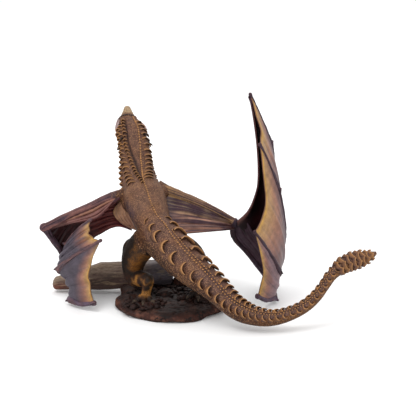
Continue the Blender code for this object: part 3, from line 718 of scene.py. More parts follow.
def neck_hide(finish):
    """Head and neck as one skin with its fine scales."""
    obj = skinned("neck_hide", [body_stretch(0.0, 0.255, 110)] + head_swellings(), NECK_GRAIN, 5)
    points = places(obj)
    share, turn, _, flow = body_places(points)
    upper = np.abs(turn + table_at(KEEL, share))
    head = 1 - ease(0.07, 0.11, share)
    relief = scaly(obj, NECK_SCALE - 0.15 * head, NECK_SCALE_DEPTH, 11, flow)
    # broad plates across the throat
    belly = ease(128, 142, upper) * ease(0.07, 0.10, share)
    plate = belly_plates(share)
    relief = relief * (1 - belly) + plate * belly
    # mouth line between snout and jaw, sunk nostrils and eye sockets
    pits = np.exp(-((upper - MOUTH_ANGLE) / 5.0) ** 2) * (1 - ease(0.062, 0.078, share))
    pits = pits * ease(0.001, 0.005, share)
    for sign in (1, -1):
        for at, angle, size, deep in ((*NOSTRIL, 1.0, 1.0), (*EYE, 2.4, 0.7)):
            spot, _, _ = skin_point(at, sign * angle, 0.2)
            away = np.linalg.norm(points - np.array(spot), axis=1)
            pits = np.maximum(pits, deep * np.exp(-(away / size) ** 2))
    # groove beside the crest on the left of the neck
    groove = np.exp(-((turn - np.interp(share, (0.05, 0.12, 0.17, 0.245), (50, 50, 22, 0))) / 6) ** 2)
    groove *= ease(0.04, 0.06, share) * (1 - ease(0.20, 0.24, share))
    lift = belly * (plate - 0.5) * PLATE_DEPTH - pits * 1.2 - groove * 0.9
    set_places(obj, places(obj) + directions(obj) * lift[:, None])
    relief = relief * (1 - pits) * (1 - 0.8 * groove)
    finished(obj, finish, back_paint(points, share, turn, directions(obj)), relief, NECK_KEPT)


def trunk_hide(finish):
    """Trunk and hind legs as one skin with its scales."""
    arm = ARM_RADIUS
    right_stub = tuple(Vector(RIGHT_ARM[0]).lerp(Vector(RIGHT_ARM[1]), 0.55))
    shapes = [body_stretch(0.235, 0.52, 110)] + legs() + [
        limb(LEFT_ARM[:2], (arm * 1.5, arm * 0.9), 2.5, 20),
        limb((RIGHT_ARM[0], right_stub), (arm * 1.5, arm * 0.9), 2.5, 20),
        egg((-41, 37, 106), (12, 8.5, 10.5), (-1, -0.1, -0.15)),
        egg((-13, 39, 109), (10, 8.0, 10.0), (1, 0.0, -0.35)),
        egg((-31, 34, 102), (16, 20, 13), (0.3, -0.6, -0.5)),
        egg((-14, -4, 74), (20, 19, 14), (0.5, -0.7, -0.4)),
    ]
    obj = skinned("trunk_hide", shapes, TRUNK_GRAIN, 5)
    points = places(obj)
    share, turn, reach, flow = body_places(points)
    upper = np.abs(turn)
    on_leg = ease(1.16, 1.4, reach) * ease(0.26, 0.31, share)
    on_arm = ease(1.12, 1.5, reach) * (1 - ease(0.25, 0.30, share))
    relief = scaly(obj, TRUNK_SCALE + 0.7 * ease(90, 130, upper) * (1 - on_leg), TRUNK_SCALE_DEPTH, 12, flow)
    shade = MOUTH_SHADE * mouth_shade(points) * (1 - on_leg)
    relief = relief * (1 - 0.95 * shade)
    belly = ease(128, 142, upper) * (1 - on_leg) * (1 - on_arm)
    plate = belly_plates(share)
    relief = relief * (1 - belly) + plate * belly
    set_places(obj, places(obj) + directions(obj) * (belly * (plate - 0.5) * PLATE_DEPTH)[:, None])
    level_soles(obj)
    outward = directions(obj)
    base = back_paint(points, share, turn, outward)
    base = mixed(base, "slate violet", 0.6 * ease(0.5, 1.0, on_arm))
    lump = mottle(points, 8, 3.0)
    lit = ease(-0.1, 1.0, -outward[:, 1] + 0.5 * outward[:, 0] + 0.7 * lump - 0.25)
    base = mixed(base, mixed("thigh black", "thigh gold", lit), on_leg)
    shank = on_leg * (1 - ease(34, 42, points[:, 2]))
    base = mixed(base, mixed("thigh black", "belly brown", 0.5 + lump), shank)
    metatarsus = on_leg * (1 - ease(-1, 6, points[:, 1])) * (1 - ease(35, 39, points[:, 2]))
    metatarsus = metatarsus * ease(16, 20, points[:, 2])
    base = mixed(base, "deep gold", 0.75 * metatarsus * ease(-0.4, 0.3, lump + 0.4 * outward[:, 0]))
    base = mixed(base, "rock black", 0.8 * (1 - ease(15, 19, points[:, 2])))
    finished(obj, finish, base, relief * (1 - 0.35 * on_leg), TRUNK_KEPT)


def tail_hide(finish):
    """Tail from the rump to its tip as one skin with finer scales between its rows of crescents."""
    obj = skinned("tail_hide", [body_stretch(0.485, 1.0, 190)], TAIL_GRAIN, 5)
    points = places(obj)
    share, turn, _, flow = body_places(points)
    spread = table_at(SPREAD, share)
    inside = 1 - ease(spread - 8, spread + 6, np.abs(turn))
    taper = 1 - 0.25 * ease(0.6, 0.75, share)
    relief = scaly(obj, (TAIL_SCALE - 0.2 * inside) * taper, TAIL_SCALE_DEPTH, 23, flow)
    shade = MOUTH_SHADE * mouth_shade(points)
    groove = np.exp(-(turn / 7) ** 2) * (1 - ease(0.86, 0.9, share))
    set_places(obj, places(obj) - directions(obj) * (groove * 0.4 + shade * 0.5)[:, None])
    relief = relief * (1 - 0.5 * groove) * (1 - 0.95 * shade)
    base = mixed("belly brown", "hide grey", inside * 0.9 + 0.1 + 0.25 * mottle(points, 10))
    base = mixed(base, "deep gold", 0.22 * ease(0.6, 0.8, share) * (1 - inside))
    # painted shade: the underside of the tail is darkened
    base = mixed(base, "dark shade and wash", 0.6 * ease(-0.2, 0.85, -directions(obj)[:, 2]))
    finished(obj, finish, base, relief, TAIL_KEPT)


def horn(share, angle, length, radius, lean):
    """Curved horn on the skin, with faint growth rings."""
    place, out, ahead = skin_point(share, angle, -1.5)
    tip = place + (out + ahead * lean).normalized() * (length + 1.5)
    bend = place.lerp(tip, 0.5) + out * length * 0.12
    curve = smooth([tuple(place), tuple(bend), tuple(tip)])
    steps = max(10, round(length * 2.2))
    path = [tuple(curve(i / steps)) for i in range(steps + 1)]
    radii = [radius * (1 - (i / steps) ** 1.3) * (1 + 0.07 * (-1) ** i) + 0.25 for i in range(steps + 1)]
    return limb(path, radii, (length + 1.5) / steps, 14)


def head_parts(finish):
    """Horns, frills, eyes and teeth of the head."""
    spikes = [horn(at, sign * angle, length * HORN_TRIM[0], radius * HORN_TRIM[1], lean * HORN_TRIM[2])
              for at, angle, length, radius, lean in HORNS for sign in (1, -1)]
    spikes += [horn(0.034, sign * angle, 2.4, 1.1, 0.8)
               for angle in (8, 23, 38, 53, 68, 82) for sign in (1, -1)]
    spikes += [horn(at, sign * 84, 3.2, 1.5, 1.0)
               for at in np.arange(0.140, 0.236, 0.012) for sign in (1, -1)]
    obj = made("horns", *gathered(spikes))
    points = places(obj)
    share, _, reach, _ = body_places(points)
    tip = ease(1.15, 1.7, reach)
    on_neck = ease(0.125, 0.14, share)
    root = mixed("horn", "hide brown", on_neck)
    finished(obj, finish["bones"], mixed(root, "tan", tip * (0.3 + 0.5 * on_neck)),
             np.clip(0.35 + 0.5 * tip + 0.25 * mottle(points, 1.5), 0.05, 1))
    for sign, name in ((1, "left_frill"), (-1, "right_frill")):
        root, edge = [], []
        for at, angle, lift in FRILL:
            # the right frill sits further back and higher, as far as it shows in the photograph
            where = (at, angle) if sign > 0 else (at + 0.012, 12 - angle)
            place, out, ahead = skin_point(*where, -0.8)
            root.append(tuple(place))
            edge.append(tuple(place + out * lift + ahead * lift * 0.75))
        web(name, root, edge, 36, 24, 0.3, 0.0, 0, 0, 3.5, 0.35, (sign, 0, 0.3), frill_paint, finish["webs"],
            60 + sign, thickness=0.7)
    sockets = [skin_point(EYE[0], sign * EYE[1], -1.0) for sign in (1, -1)]
    obj = made("eyes", *gathered([egg(place, (2.1, 1.9, 1.7), ahead, out) for place, out, ahead in sockets]))
    points = places(obj)
    colour = np.tile(paint("amber"), (len(points), 1))
    for place, out, ahead in sockets:
        away = points - np.array(place)
        slit = np.hypot(away @ np.array(ahead) / 0.42, away @ np.array(out.cross(ahead)) / 1.25)
        near = np.linalg.norm(away, axis=1) < 4
        colour = mixed(colour, "pupil", (1 - ease(0.8, 1.1, slit)) * near)
    finished(obj, finish["eyes"], colour, np.full(len(points), 0.6))
    tooth = template("tooth", *tooth_shape())
    stations = []
    for side in (1, -1):
        for k, at in enumerate(np.arange(0.005, 0.056, 0.0042)):
            place, out, ahead = skin_point(at, side * 116, -0.2)
            down = BODY_AT(at)[3] * -1
            stations.append((place, (down + out * 0.35).normalized(), ahead, (1.2, 1.1, 1.7 + 0.7 * (k % 2))))
    row("teeth", tooth, finish["bones"], stations, 0.12, 14, "tooth")
    bpy.data.objects.remove(tooth)


def frill_paint(at, outer):
    lump = mottle(at["points"], 6, 4.0)
    # painted shade: the valleys of the wrinkles turn dusty rose
    ray = ease(0.15, 0.75, -at["lines"])
    rosy = 0.2 * ray + 0.2 * lump + 0.35 * (1 - ease(0, 0.35, at["u"]))
    colour = mixed("frill pink", "dusty rose", rosy)
    return colour if outer else mixed(colour, "maroon", 0.25)


def tooth_shape():
    """Pointed tooth, one unit long and wide at its root, standing along its own height."""
    turns = [2 * math.pi * k / 8 for k in range(8)]
    rings = [[Vector((0.5 * r * math.cos(t), 0.5 * r * math.sin(t), z)) for t in turns]
             for z, r in ((-0.2, 1.0), (0.3, 0.85), (0.75, 0.45), (1.0, 0.08))]
    verts, faces = stitched(rings)
    return [tuple(v) for v in verts], faces, [0.45 + 0.5 * v[2] for v in verts]


# Carved shapes that repeat, set along rows by Geometry Nodes

def template(name, verts, faces, relief):
    obj = made(name, np.asarray(verts) / MM, faces)
    store(obj, "relief", np.asarray(relief, float))
    obj.data.shade_smooth()
    return obj


def crescent_shape(point=0.2, across=12, mouth=0.5, lip=0.09):
    """Steep hood one unit long, wide and high: a gold rim over a mouth darkened as painted shade, its ends
    swept back.
    """
    verts, relief, faces = [], [], []
    sides = 7
    for j in range(across + 1):
        u = 2 * j / across - 1
        arch = max(0.0, 1 - abs(u) ** 2.2) ** 0.6
        crown = math.exp(-(u / 0.17) ** 2)
        high = arch * (1 + point * crown)
        rim = 0.06 + 0.34 * u ** 2 + 0.16 * point * crown
        deep = 1 - 0.35 * u ** 2
        # low relief inside the mouth lets the wash darken it, as painted shade
        profile = ((rim - 0.62 * deep, -0.30, 0.35), (rim - 0.36 * deep, 0.50 * high - 0.06, 0.55),
                   (rim - lip, 0.90 * high - 0.02, 0.70), (rim - 0.005, 1.04 * high + 0.03, 1.05),
                   (rim + 0.04, 0.92 * high, 0.95), (rim - 0.10 * mouth, 0.45 * high - 0.08, 0.30),
                   (rim - 0.02, -0.30, 0.18))
        for x, z, value in profile:
            verts.append((x, 0.5 * u, z))
            relief.append(value)
    for j in range(across):
        for k in range(sides):
            a, b = j * sides + k, j * sides + (k + 1) % sides
            faces.append((a, b, b + sides, a + sides))
    faces.append(tuple(range(sides))[::-1])
    faces.append(tuple(across * sides + k for k in range(sides)))
    return verts, faces, relief


def bead_shape():
    """Small pebble, one unit across, leaning towards the tail."""
    bm = bmesh.new()
    bmesh.ops.create_icosphere(bm, subdivisions=2, radius=0.5)
    verts = [(v.co.x * 1.15 + max(0.0, v.co.z) * 0.25, v.co.y, v.co.z) for v in bm.verts]
    faces = [tuple(v.index for v in f.verts) for f in bm.faces]
    relief = [min(1.0, max(0.0, 0.15 + 1.9 * v.co.z)) for v in bm.verts]
    bm.free()
    return verts, faces, relief


def row_tree(shape, finish):
    """Sets one carved shape on each point of a row, turned and sized as the point says."""
    tree = bpy.data.node_groups.new("row of " + shape.name, "GeometryNodeTree")
    face = tree.interface
    face.new_socket("Row", in_out="INPUT", socket_type="NodeSocketGeometry")
    inputs = {
        "Size": face.new_socket("Size", in_out="INPUT", socket_type="NodeSocketFloat"),
        "Unevenness": face.new_socket("Unevenness", in_out="INPUT", socket_type="NodeSocketFloat"),
        "Seed": face.new_socket("Seed", in_out="INPUT", socket_type="NodeSocketInt"),
    }
    face.new_socket("Carving", in_out="OUTPUT", socket_type="NodeSocketGeometry")
    add, join = tree.nodes.new, tree.links.new
    given, result = add("NodeGroupInput"), add("NodeGroupOutput")

    def attribute(name):
        node = add("GeometryNodeInputNamedAttribute")
        node.data_type = "FLOAT_VECTOR"
        node.inputs["Name"].default_value = name
        return node.outputs["Attribute"]

    turn = add("FunctionNodeAxesToRotation")
    turn.primary_axis, turn.secondary_axis = "Z", "X"
    join(attribute("out"), turn.inputs[0])
    join(attribute("flow"), turn.inputs[1])
    uneven = add("FunctionNodeRandomValue")
    uneven.data_type = "FLOAT"
    floats = [s for s in uneven.inputs if s.type == "VALUE"]
    for operation, limit in (("SUBTRACT", floats[0]), ("ADD", floats[1])):
        edge = add("ShaderNodeMath")
        edge.operation = operation
        edge.inputs[0].default_value = 1.0
        join(given.outputs["Unevenness"], edge.inputs[1])
        join(edge.outputs[0], limit)
    join(given.outputs["Seed"], uneven.inputs["Seed"])
    value = next(s for s in uneven.outputs if s.type == "VALUE")
    both = add("ShaderNodeMath")
    both.operation = "MULTIPLY"
    join(value, both.inputs[0])
    join(given.outputs["Size"], both.inputs[1])
    scale = add("ShaderNodeVectorMath")
    scale.operation = "SCALE"
    join(attribute("extent"), scale.inputs[0])
    join(both.outputs[0], scale.inputs["Scale"])
    source = add("GeometryNodeObjectInfo")
    source.inputs["Object"].default_value = shape
    source.inputs["As Instance"].default_value = True
    setting = add("GeometryNodeInstanceOnPoints")
    join(given.outputs["Row"], setting.inputs["Points"])
    join(source.outputs["Geometry"], setting.inputs["Instance"])
    join(turn.outputs[0], setting.inputs["Rotation"])
    join(scale.outputs[0], setting.inputs["Scale"])
    real = add("GeometryNodeRealizeInstances")
    join(setting.outputs[0], real.inputs[0])
    coat = add("GeometryNodeSetMaterial")
    coat.inputs["Material"].default_value = finish
    join(real.outputs[0], coat.inputs["Geometry"])
    join(coat.outputs[0], result.inputs[0])
    return tree, inputs


def row(name, shape, finish, stations, unevenness, seed, colour="deep gold", under="hide grey", **made_as):
    """Row of carvings from stations: place, outward direction, flow and extent, all in millimetres."""
    mesh = bpy.data.meshes.new(name)
    mesh.from_pydata([tuple(Vector(s[0]) * MM) for s in stations], [], [])
    for key, values in (("out", [s[1] for s in stations]), ("flow", [s[2] for s in stations]),
                        ("extent", [Vector(s[3]) * MM for s in stations])):
        layer = mesh.attributes.new(key, "FLOAT_VECTOR", "POINT")
        layer.data.foreach_set("vector", np.array([tuple(v) for v in values], np.float32).ravel())
    obj = bpy.data.objects.new(name, mesh)
    bpy.context.collection.objects.link(obj)
    tree, inputs = row_tree(shape, finish)
    carve = obj.modifiers.new("carve", "NODES")
    carve.node_group = tree
    for key, value in (("Size", 1.0), ("Unevenness", unevenness), ("Seed", seed)):
        carve[inputs[key].identifier] = value
    baked(obj)
    bpy.data.node_groups.remove(tree)
    points = places(obj)
    ridge = ease(0.5, 1.0, stored(obj, "relief"))
    colour = mixed(under, colour, 0.16 + 0.7 * ridge + 0.3 * mottle(points, 9, 1.0))
    # painted shade: the undersides of the carvings are darkened
    colour = mixed(colour, "dark shade and wash", 0.5 * ease(0.1, 0.9, -directions(obj)[:, 2]))
    finished(obj, finish, colour, **made_as)


def station(share, angle, width, length, height, tilt=0.0, sweep=0.0):
    """Where one carving sits on the body: angle counted from the keel, outer end swept to the tail."""
    place, out, ahead = skin_point(share, angle + table_at(KEEL, share))
    if sweep:
        inward = skin_point(share, table_at(KEEL, share))[0] - place
        inward = (inward - out * inward.dot(out) - ahead * inward.dot(ahead)).normalized()
        ahead = (ahead * math.cos(sweep) + inward * math.sin(sweep)).normalized()
    if tilt:
        side = out.cross(ahead)
        out = (out * math.cos(tilt) + side * math.sin(tilt)).normalized()
    return place, out, ahead, (length, width, height)


def tail_stations(side):
    """Stations of one of the tail's two rows of hoods: 1 is the left row, -1 the right one."""
    shares = LEFT_ROW if side > 0 else RIGHT_ROW
    stations = []
    for i, share in enumerate(shares):
        _, wide, *_ = BODY_AT(share)
        gap = (shares[min(i + 1, len(shares) - 1)] - shares[max(i - 1, 0)]) / 2 * BODY_LENGTH
        grown = min(1.0, 0.55 + 0.15 * i)
        width = (0.74 * wide + 1.6) * grown * (0.92 if side > 0 else 1.16)
        height = (0.14 * wide + 1.0) * grown * (1.0 if side > 0 else 0.92)
        spread = table_at(SPREAD, share) + (3 if side > 0 else 0)
        sweep = LEFT_SWEEP if side > 0 else RIGHT_SWEEP
        long = gap * (0.9 if side > 0 else 1.15)
        stations.append(station(share, side * spread, width, long, height, side * 0.1, sweep))
    return stations


def mouth_shade(points):
    """How deep each point of the skin lies in the mouth of a hood, from 0 to 1."""
    shade = np.zeros(len(points))
    for side in (1, -1):
        for place, out, ahead, (length, width, height) in tail_stations(side):
            away = points - np.array(place)
            near = np.flatnonzero(np.abs(away).max(axis=1) < max(length, width))
            x = away[near] @ np.array(ahead) / length
            y = away[near] @ np.array(out.cross(ahead)) / width
            inside = ease(-0.08, 0.10, x - 0.36 * (2 * y) ** 2) * (1 - ease(0.26, 0.58, x))
            inside = inside * (1 - ease(0.34, 0.52, np.abs(y)))
            shade[near] = np.maximum(shade[near], inside)
    return shade


def plate_rows(finish):
    """Crescents, beads and bands on the neck, the back and the tail."""
    hood = template("crescent", *crescent_shape())
    stout = template("stout crescent", *crescent_shape(0.45, 12, 0.3, 0.13))
    plain = template("band", *crescent_shape(0.06, 10, 0.9))
    bead = template("bead", *bead_shape())
    crescents, beads = finish["crescents"], finish["beads"]
    row("left_crescents", stout, crescents, tail_stations(1), 0.05, 4)
    row("right_crescents", hood, crescents, tail_stations(-1), 0.05, 2)
    # beads along the keel: single on the back, in pairs down the tail
    stations = []
    for share in np.arange(0.235, 0.90, 0.0068):
        _, wide, *_ = BODY_AT(share)
        big = 1.7 if share < 0.36 else 1.1 + 0.035 * wide
        if share < 0.40:
            stations.append(station(share, 0, big * 1.1, big * 1.25, big * 1.1))
        else:
            for side in (1, -1):
                swing = side * (4 + 60 / wide / 2) - 3
                high = big * (1.2 if side < 0 else 0.9)
                stations.append(station(share + 0.0017 * side, swing, big, big * 1.2, high))
    row("keel_beads", bead, beads, stations, 0.18, 5)
    # neck: a row of beads in the middle, thorny lumps to the left, broad arched bands to the right
    stations = [station(s, 0, 2.0, 2.5, 1.9) for s in np.arange(0.045, 0.235, 0.0066)]
    row("neck_beads", bead, beads, stations, 0.15, 6)
    stations = [station(s, table_at(NECK_CREST, s), 4.6, 4.6, 2.6) for s in np.arange(0.053, 0.245, 0.0094)]
    row("neck_crest", hood, crescents, stations, 0.12, 7)
    stations = []
    for s in np.arange(0.062, 0.225, 0.0125):
        stations.append(station(s, table_at(NECK_RIGHT, s) - 4, 12.0, 5.2, 2.1, -0.1))
        stations.append(station(s + 0.004, table_at(NECK_CREST, s) + 30, 9.5, 5.2, 2.0, 0.1))
    row("neck_bands", plain, crescents, stations, 0.08, 8)
    stations = []
    for s in np.arange(0.07, 0.235, 0.0125):
        for side in (1, -1):
            stations.append(station(s, side * 92 + (8 if side > 0 else -2), 6.6, 5.6, 3.0, side * 0.1))
    row("neck_sides", hood, crescents, stations, 0.15, 9)
    # overlapping bands of the club
    stations = []
    start, end = CLUB
    for k in range(8):
        share = start + (end - start) * k / 7
        _, wide, *_ = BODY_AT(share)
        for i in range(6):
            angle = -160 + 60 * i + 30 * (k % 2)
            stations.append(station(share, angle, wide * 1.22 + 0.8, 6.6, 0.12 * wide + 1.1))
    row("club_bands", plain, crescents, stations, 0.10, 10)
    for shape in (hood, stout, plain, bead):
        bpy.data.objects.remove(shape)


# Wings

def sheet_grid(first, second, along, across, belly, scallop, ridges, ridge_depth):
    """Middle surface of a web, with the outward directions of its grid."""
    one, two = smooth(first), smooth(second)
    grid = np.empty((along + 1, across + 1, 3))
    for i in range(along + 1):
        for j in range(across + 1):
            v = j / across
            u = WEB_ROOT + (1 - WEB_ROOT) * i / along * (1 - scallop * math.sin(math.pi * v))
            grid[i, j] = one(u) * (1 - v) + two(u) * v
    normals = np.cross(np.gradient(grid, axis=0), np.gradient(grid, axis=1))
    normals /= np.maximum(np.linalg.norm(normals, axis=2, keepdims=True), 1e-9)
    u = np.linspace(0, 1, along + 1)[:, None]
    v = np.linspace(0, 1, across + 1)[None, :]
    sag = belly * np.sin(np.pi * v) * np.sin(np.pi * np.minimum(1.0, 0.15 + u * 0.7))
    fold = ridge_depth * np.cos(2 * np.pi * ridges * v) * np.sin(np.pi * v) * np.ones_like(u)
    grid = grid + normals * (sag + fold)[:, :, None]
    return grid, normals


def web(name, first, second, along, across, belly, scallop, ridges, ridge_depth, wrinkles, wrinkle_depth,
        outside, painter, finish, seed, thickness=WEB_THICKNESS):
    """Skin stretched between two curves: fine wrinkles run along it, and each side has its own paint."""
    grid, normals = sheet_grid(first, second, along, across, belly, scallop, ridges, ridge_depth)
    rng = np.random.default_rng(seed)
    u = np.linspace(0, 1, along + 1)[:, None]
    v = np.linspace(0, 1, across + 1)[None, :]
    wander = sum(rng.uniform(0.3, 1) * np.sin(2 * np.pi * (rng.uniform(0.4, 1.4) * u + rng.uniform(0, 1)))
                 for _ in range(3))
    lines = np.zeros((along + 1, across + 1))
    for k in range(3):
        count = wrinkles * (0.6 + 0.45 * k) + rng.uniform(-0.3, 0.3)
        wave = np.sin(2 * np.pi * (count * (v + 0.018 * wander * (1 + k)) + rng.uniform(0, 1)))
        fade = 0.65 + 0.35 * np.sin(2 * np.pi * (u * rng.uniform(0.5, 1.3) + rng.uniform(0, 1)))
        lines += (1 - np.abs(wave) * 1.6) * fade / (1 + 0.6 * k)
    lines /= 1.9
    border = np.minimum(1, np.minimum(v, 1 - v) * 12) * np.minimum(1, (1 - u) * 14 + 0.15)
    grid = grid + normals * (lines * wrinkle_depth * border)[:, :, None]
    normals = np.cross(np.gradient(grid, axis=0), np.gradient(grid, axis=1))
    normals /= np.maximum(np.linalg.norm(normals, axis=2, keepdims=True), 1e-9)
    thin = 0.5 * thickness * (1 - 0.45 * ease(0.93, 1.0, u)) * np.ones_like(v)
    top = (grid + normals * thin[:, :, None]).reshape(-1, 3)
    bottom = (grid - normals * thin[:, :, None]).reshape(-1, 3)
    wide = across + 1
    count = (along + 1) * wide
    faces = []
    for i in range(along):
        for j in range(across):
            a = i * wide + j
            faces.append((a, a + 1, a + wide + 1, a + wide))
            faces.append((count + a, count + a + wide, count + a + wide + 1, count + a + 1))
    rim = list(range(wide)) + [i * wide + across for i in range(1, along + 1)]
    rim += [along * wide + j for j in range(across - 1, -1, -1)] + [i * wide for i in range(along - 1, 0, -1)]
    for a, b in zip(rim, rim[1:] + rim[:1]):
        faces.append((b, a, count + a, count + b))
    obj = made(name, np.vstack([top, bottom]), faces)
    facing = 1 if np.dot(normals.reshape(-1, 3).mean(axis=0), outside) > 0 else -1
    lengths = np.linalg.norm(np.diff(grid, axis=0), axis=2)
    to_edge = np.zeros((along + 1, across + 1))
    to_edge[:-1] = lengths[::-1].cumsum(axis=0)[::-1]
    flat = {
        "u": (u * np.ones_like(v)).ravel(), "v": (v * np.ones_like(u)).ravel(), "edge": to_edge.ravel(),
        "lines": lines.ravel(), "points": grid.reshape(-1, 3),
    }
    tone = 0.32 + 0.16 * min(1.0, wrinkle_depth)
    colours = [painter(flat, side == facing) for side in (1, -1)]
    reliefs = [np.clip(0.52 + tone * flat["lines"] * side, 0.03, 1.0) for side in (1, -1)]
    finished(obj, finish, np.vstack(colours), np.concatenate(reliefs))


def hand_paint(gold_to, rose_to, violet, shade="smoke"):
    """Paint of the webs between fingers: gold at the free edge, then tan and rose, violet at the knuckles."""
    def brush(at, outer):
        lump = mottle(at["points"], 16, 2.0)
        if not outer:
            colour = mixed("maroon", "inner black", 0.8 + 0.4 * lump)
            return mixed(colour, "dusty rose", (1 - ease(0.6, 2.0, at["edge"])) * 0.8)
        edge = at["edge"] + 1.8 * lump
        colour = mixed("tan", "rose", ease(gold_to, rose_to, edge))
        colour = mixed(colour, "dusty rose", ease(rose_to * 0.7, rose_to * 1.6, edge) * 0.8)
        colour = mixed(colour, shade, violet * ease(rose_to * 0.8, rose_to * 2.6, edge))
        colour = mixed(colour, shade, 0.6 * violet * (1 - ease(0.0, 0.26, at["v"])))
        # painted shade: the valleys of the wrinkles are darkened towards smoke
        valley_shade = ease(0.0, 0.7, -at["lines"]) * ease(2, 8, edge)
        colour = mixed(colour, "smoke", valley_shade * (0.35 + 0.5 * violet))
        gold = (1 - ease(gold_to * 0.35, gold_to, edge)) * (0.7 + 0.3 * ease(0.4, 1.6, at["edge"]))
        colour = mixed(colour, "web gold", gold * 0.95)
        return mixed(colour, "bone purple", (1 - ease(0.3, 0.9, at["edge"])) * 0.6)
    return brush


def arm_paint(upper, lower, dark, shaded=0.86):
    """Paint of the wrinkled webs along the upper arms: pale ridges and dark valleys as painted light and
    shade of the wrinkles, darker at the far end.
    """
    def brush(at, outer):
        lump = mottle(at["points"], 14, 5.0)
        # painted light and shade: the ridges of the wrinkles are pale, their valleys dark
        ridge = ease(-0.36, 0.46, at["lines"] * (1 if outer else -1) + 0.35 * lump)
        pale = mixed(upper, lower, ease(0.25, 0.65, at["v"]))
        colour = mixed(dark, pale, ridge)
        colour = mixed(colour, "inner black", ease(shaded, 1.0, at["u"]) * (1.2 - shaded))
        colour = mixed(colour, "slate violet", (1 - ease(0.0, 0.16, at["u"])) * 0.7)
        return colour if outer else mixed(colour, "maroon", 0.55)
    return brush


def dark_paint(share):
    """Paint of the sheets that face into a fold."""
    def brush(at, outer):
        lump = mottle(at["points"], 15, 8.0)
        if outer:
            colour = mixed("slate violet", "violet grey", 0.5 + 0.6 * lump)
            return mixed(colour, "maroon", 0.3 + 0.3 * at["u"])
        colour = mixed("maroon", "inner black", share + 0.3 * lump)
        return mixed(colour, "dusty rose", (1 - ease(0.5, 2.6, (1 - at["v"]) * 26)) * 0.9)
    return brush


def flank_paint(at, outer):
    lump = mottle(at["points"], 12, 6.0)
    # painted light and shade: the ridges of the wrinkles are pale, their valleys dark
    ridge = ease(-0.4, 0.6, at["lines"] + 0.3 * lump)
    deep = mixed("wine", "bone purple", 0.5)
    colour = mixed(deep, mixed("rose", "tan", 0.2 + at["v"] * 0.5), 0.4 + 0.6 * ridge)
    colour = mixed(colour, "orange", 0.7 * (1 - ease(0.02, 0.12, at["v"])))
    return colour if outer else mixed(colour, "dusty rose", 0.5)


def wing_webs(finish):
    """All webs of both wings: name, edges, grid, sag, hollow edge, folds, wrinkles, outer side and paint."""
    straight = [tuple(Vector(ELBOW_WEB_EDGE[0]).lerp(Vector(ELBOW_WEB_EDGE[1]), i / 3)) for i in range(4)]
    sheets = [
        ("right_arm_web", RIGHT_ARM, RIGHT_TRAIL_ARM, 80, 88, 2, 0, 4, 1.3, 5.5, 1.8, (0, -1, 0.3),
         arm_paint("sand", "pale rose", "bone purple"), 31),
        ("right_inner_web", RIGHT_FINGERS[0], RIGHT_TRAIL_FINGER, 90, 36, -5, 0, 0, 0, 3, 0.5, (-0.2, 1, 0.1),
         dark_paint(0.85), 32),
        ("right_elbow_web", RIGHT_FOREARM, straight, 70, 24, 0, 0, 0, 0, 3, 0.8, (0, -1, 0.2),
         dark_paint(0.3), 33),
        ("left_arm_web", LEFT_ARM, LEFT_TRAIL, 80, 70, -3, 0, 2, 0.8, 5, 1.6, (0, -1, 0.2),
         arm_paint("wine", "wine", "maroon", 0.3), 34),
        ("left_fold_web", LEFT_ARM, LEFT_FOLD, 76, 60, 0, 0, 3, 1.0, 4.5, 1.5, (0, -1, 0.2),
         arm_paint("rose", "dusty rose", "maroon", 0.55), 35),
        ("left_flank_web", FLANK_ROOT, FLANK_EDGE, 40, 30, 2, 0, 0, 0, 5, 0.7, (-0.3, -1, 0.1),
         flank_paint, 36),
    ]
    # sag of the sheet, hollow of its free edge, then where gold and rose end and how much violet it has
    for i, (belly, scallop, *tones) in enumerate(
            ((1, 0.10, 6, 26, 0.75, "smoke"), (2, 0.13, 6, 34, 0.7, "smoke"),
             (1, 0.12, 4, 12, 1.0, "lilac"))):
        sheets.append(("right_hand_web_%d" % (i + 1), RIGHT_FINGERS[i], RIGHT_FINGERS[i + 1], 120, 44, belly,
                       scallop, 2, 0.6, 3.5, 0.7, (0.6, -1, 0.1), hand_paint(*tones), 41 + i))
    for i, (belly, scallop, *tones) in enumerate(((-2, 0.06, 2.6, 11, 1.0), (4, 0.10, 2.4, 9, 1.0))):
        sheets.append(("left_hand_web_%d" % (i + 1), LEFT_FINGERS[i], LEFT_FINGERS[i + 1], 100, 50, belly,
                       scallop, 3, 1.5, 4.0, 1.5, (-0.4, -1, 0.2), hand_paint(*tones), 51 + i))
    for *shape, seed in sheets:
        web(*shape, finish, seed)


def finger_shapes(points):
    """Bone of a wing finger with a swollen knuckle, and the spur on it."""
    thick, knuckle = FINGER_RADIUS, KNUCKLE_RADIUS
    radii = (thick * 1.05, thick * 0.76, thick * 0.74, knuckle * 0.64, thick * 0.74, thick * 0.66)
    joint = Vector(points[3])
    outward = (joint - (Vector(points[1]) + Vector(points[5])) / 2).normalized()
    spur = joint + outward * CLAW_LENGTH * 0.8
    return [
        limb(points, radii, 1.6, 14),
        limb([tuple(joint), tuple(joint.lerp(spur, 0.5)), tuple(spur)], (2.5, 1.8, 0.5), 1.2, 12),
        egg(joint, (3.6, 2.9, 2.9), Vector(points[4]) - Vector(points[2])),
        egg(points[5], (2.5, 2.0, 2.0), Vector(points[5]) - Vector(points[4])),
    ]


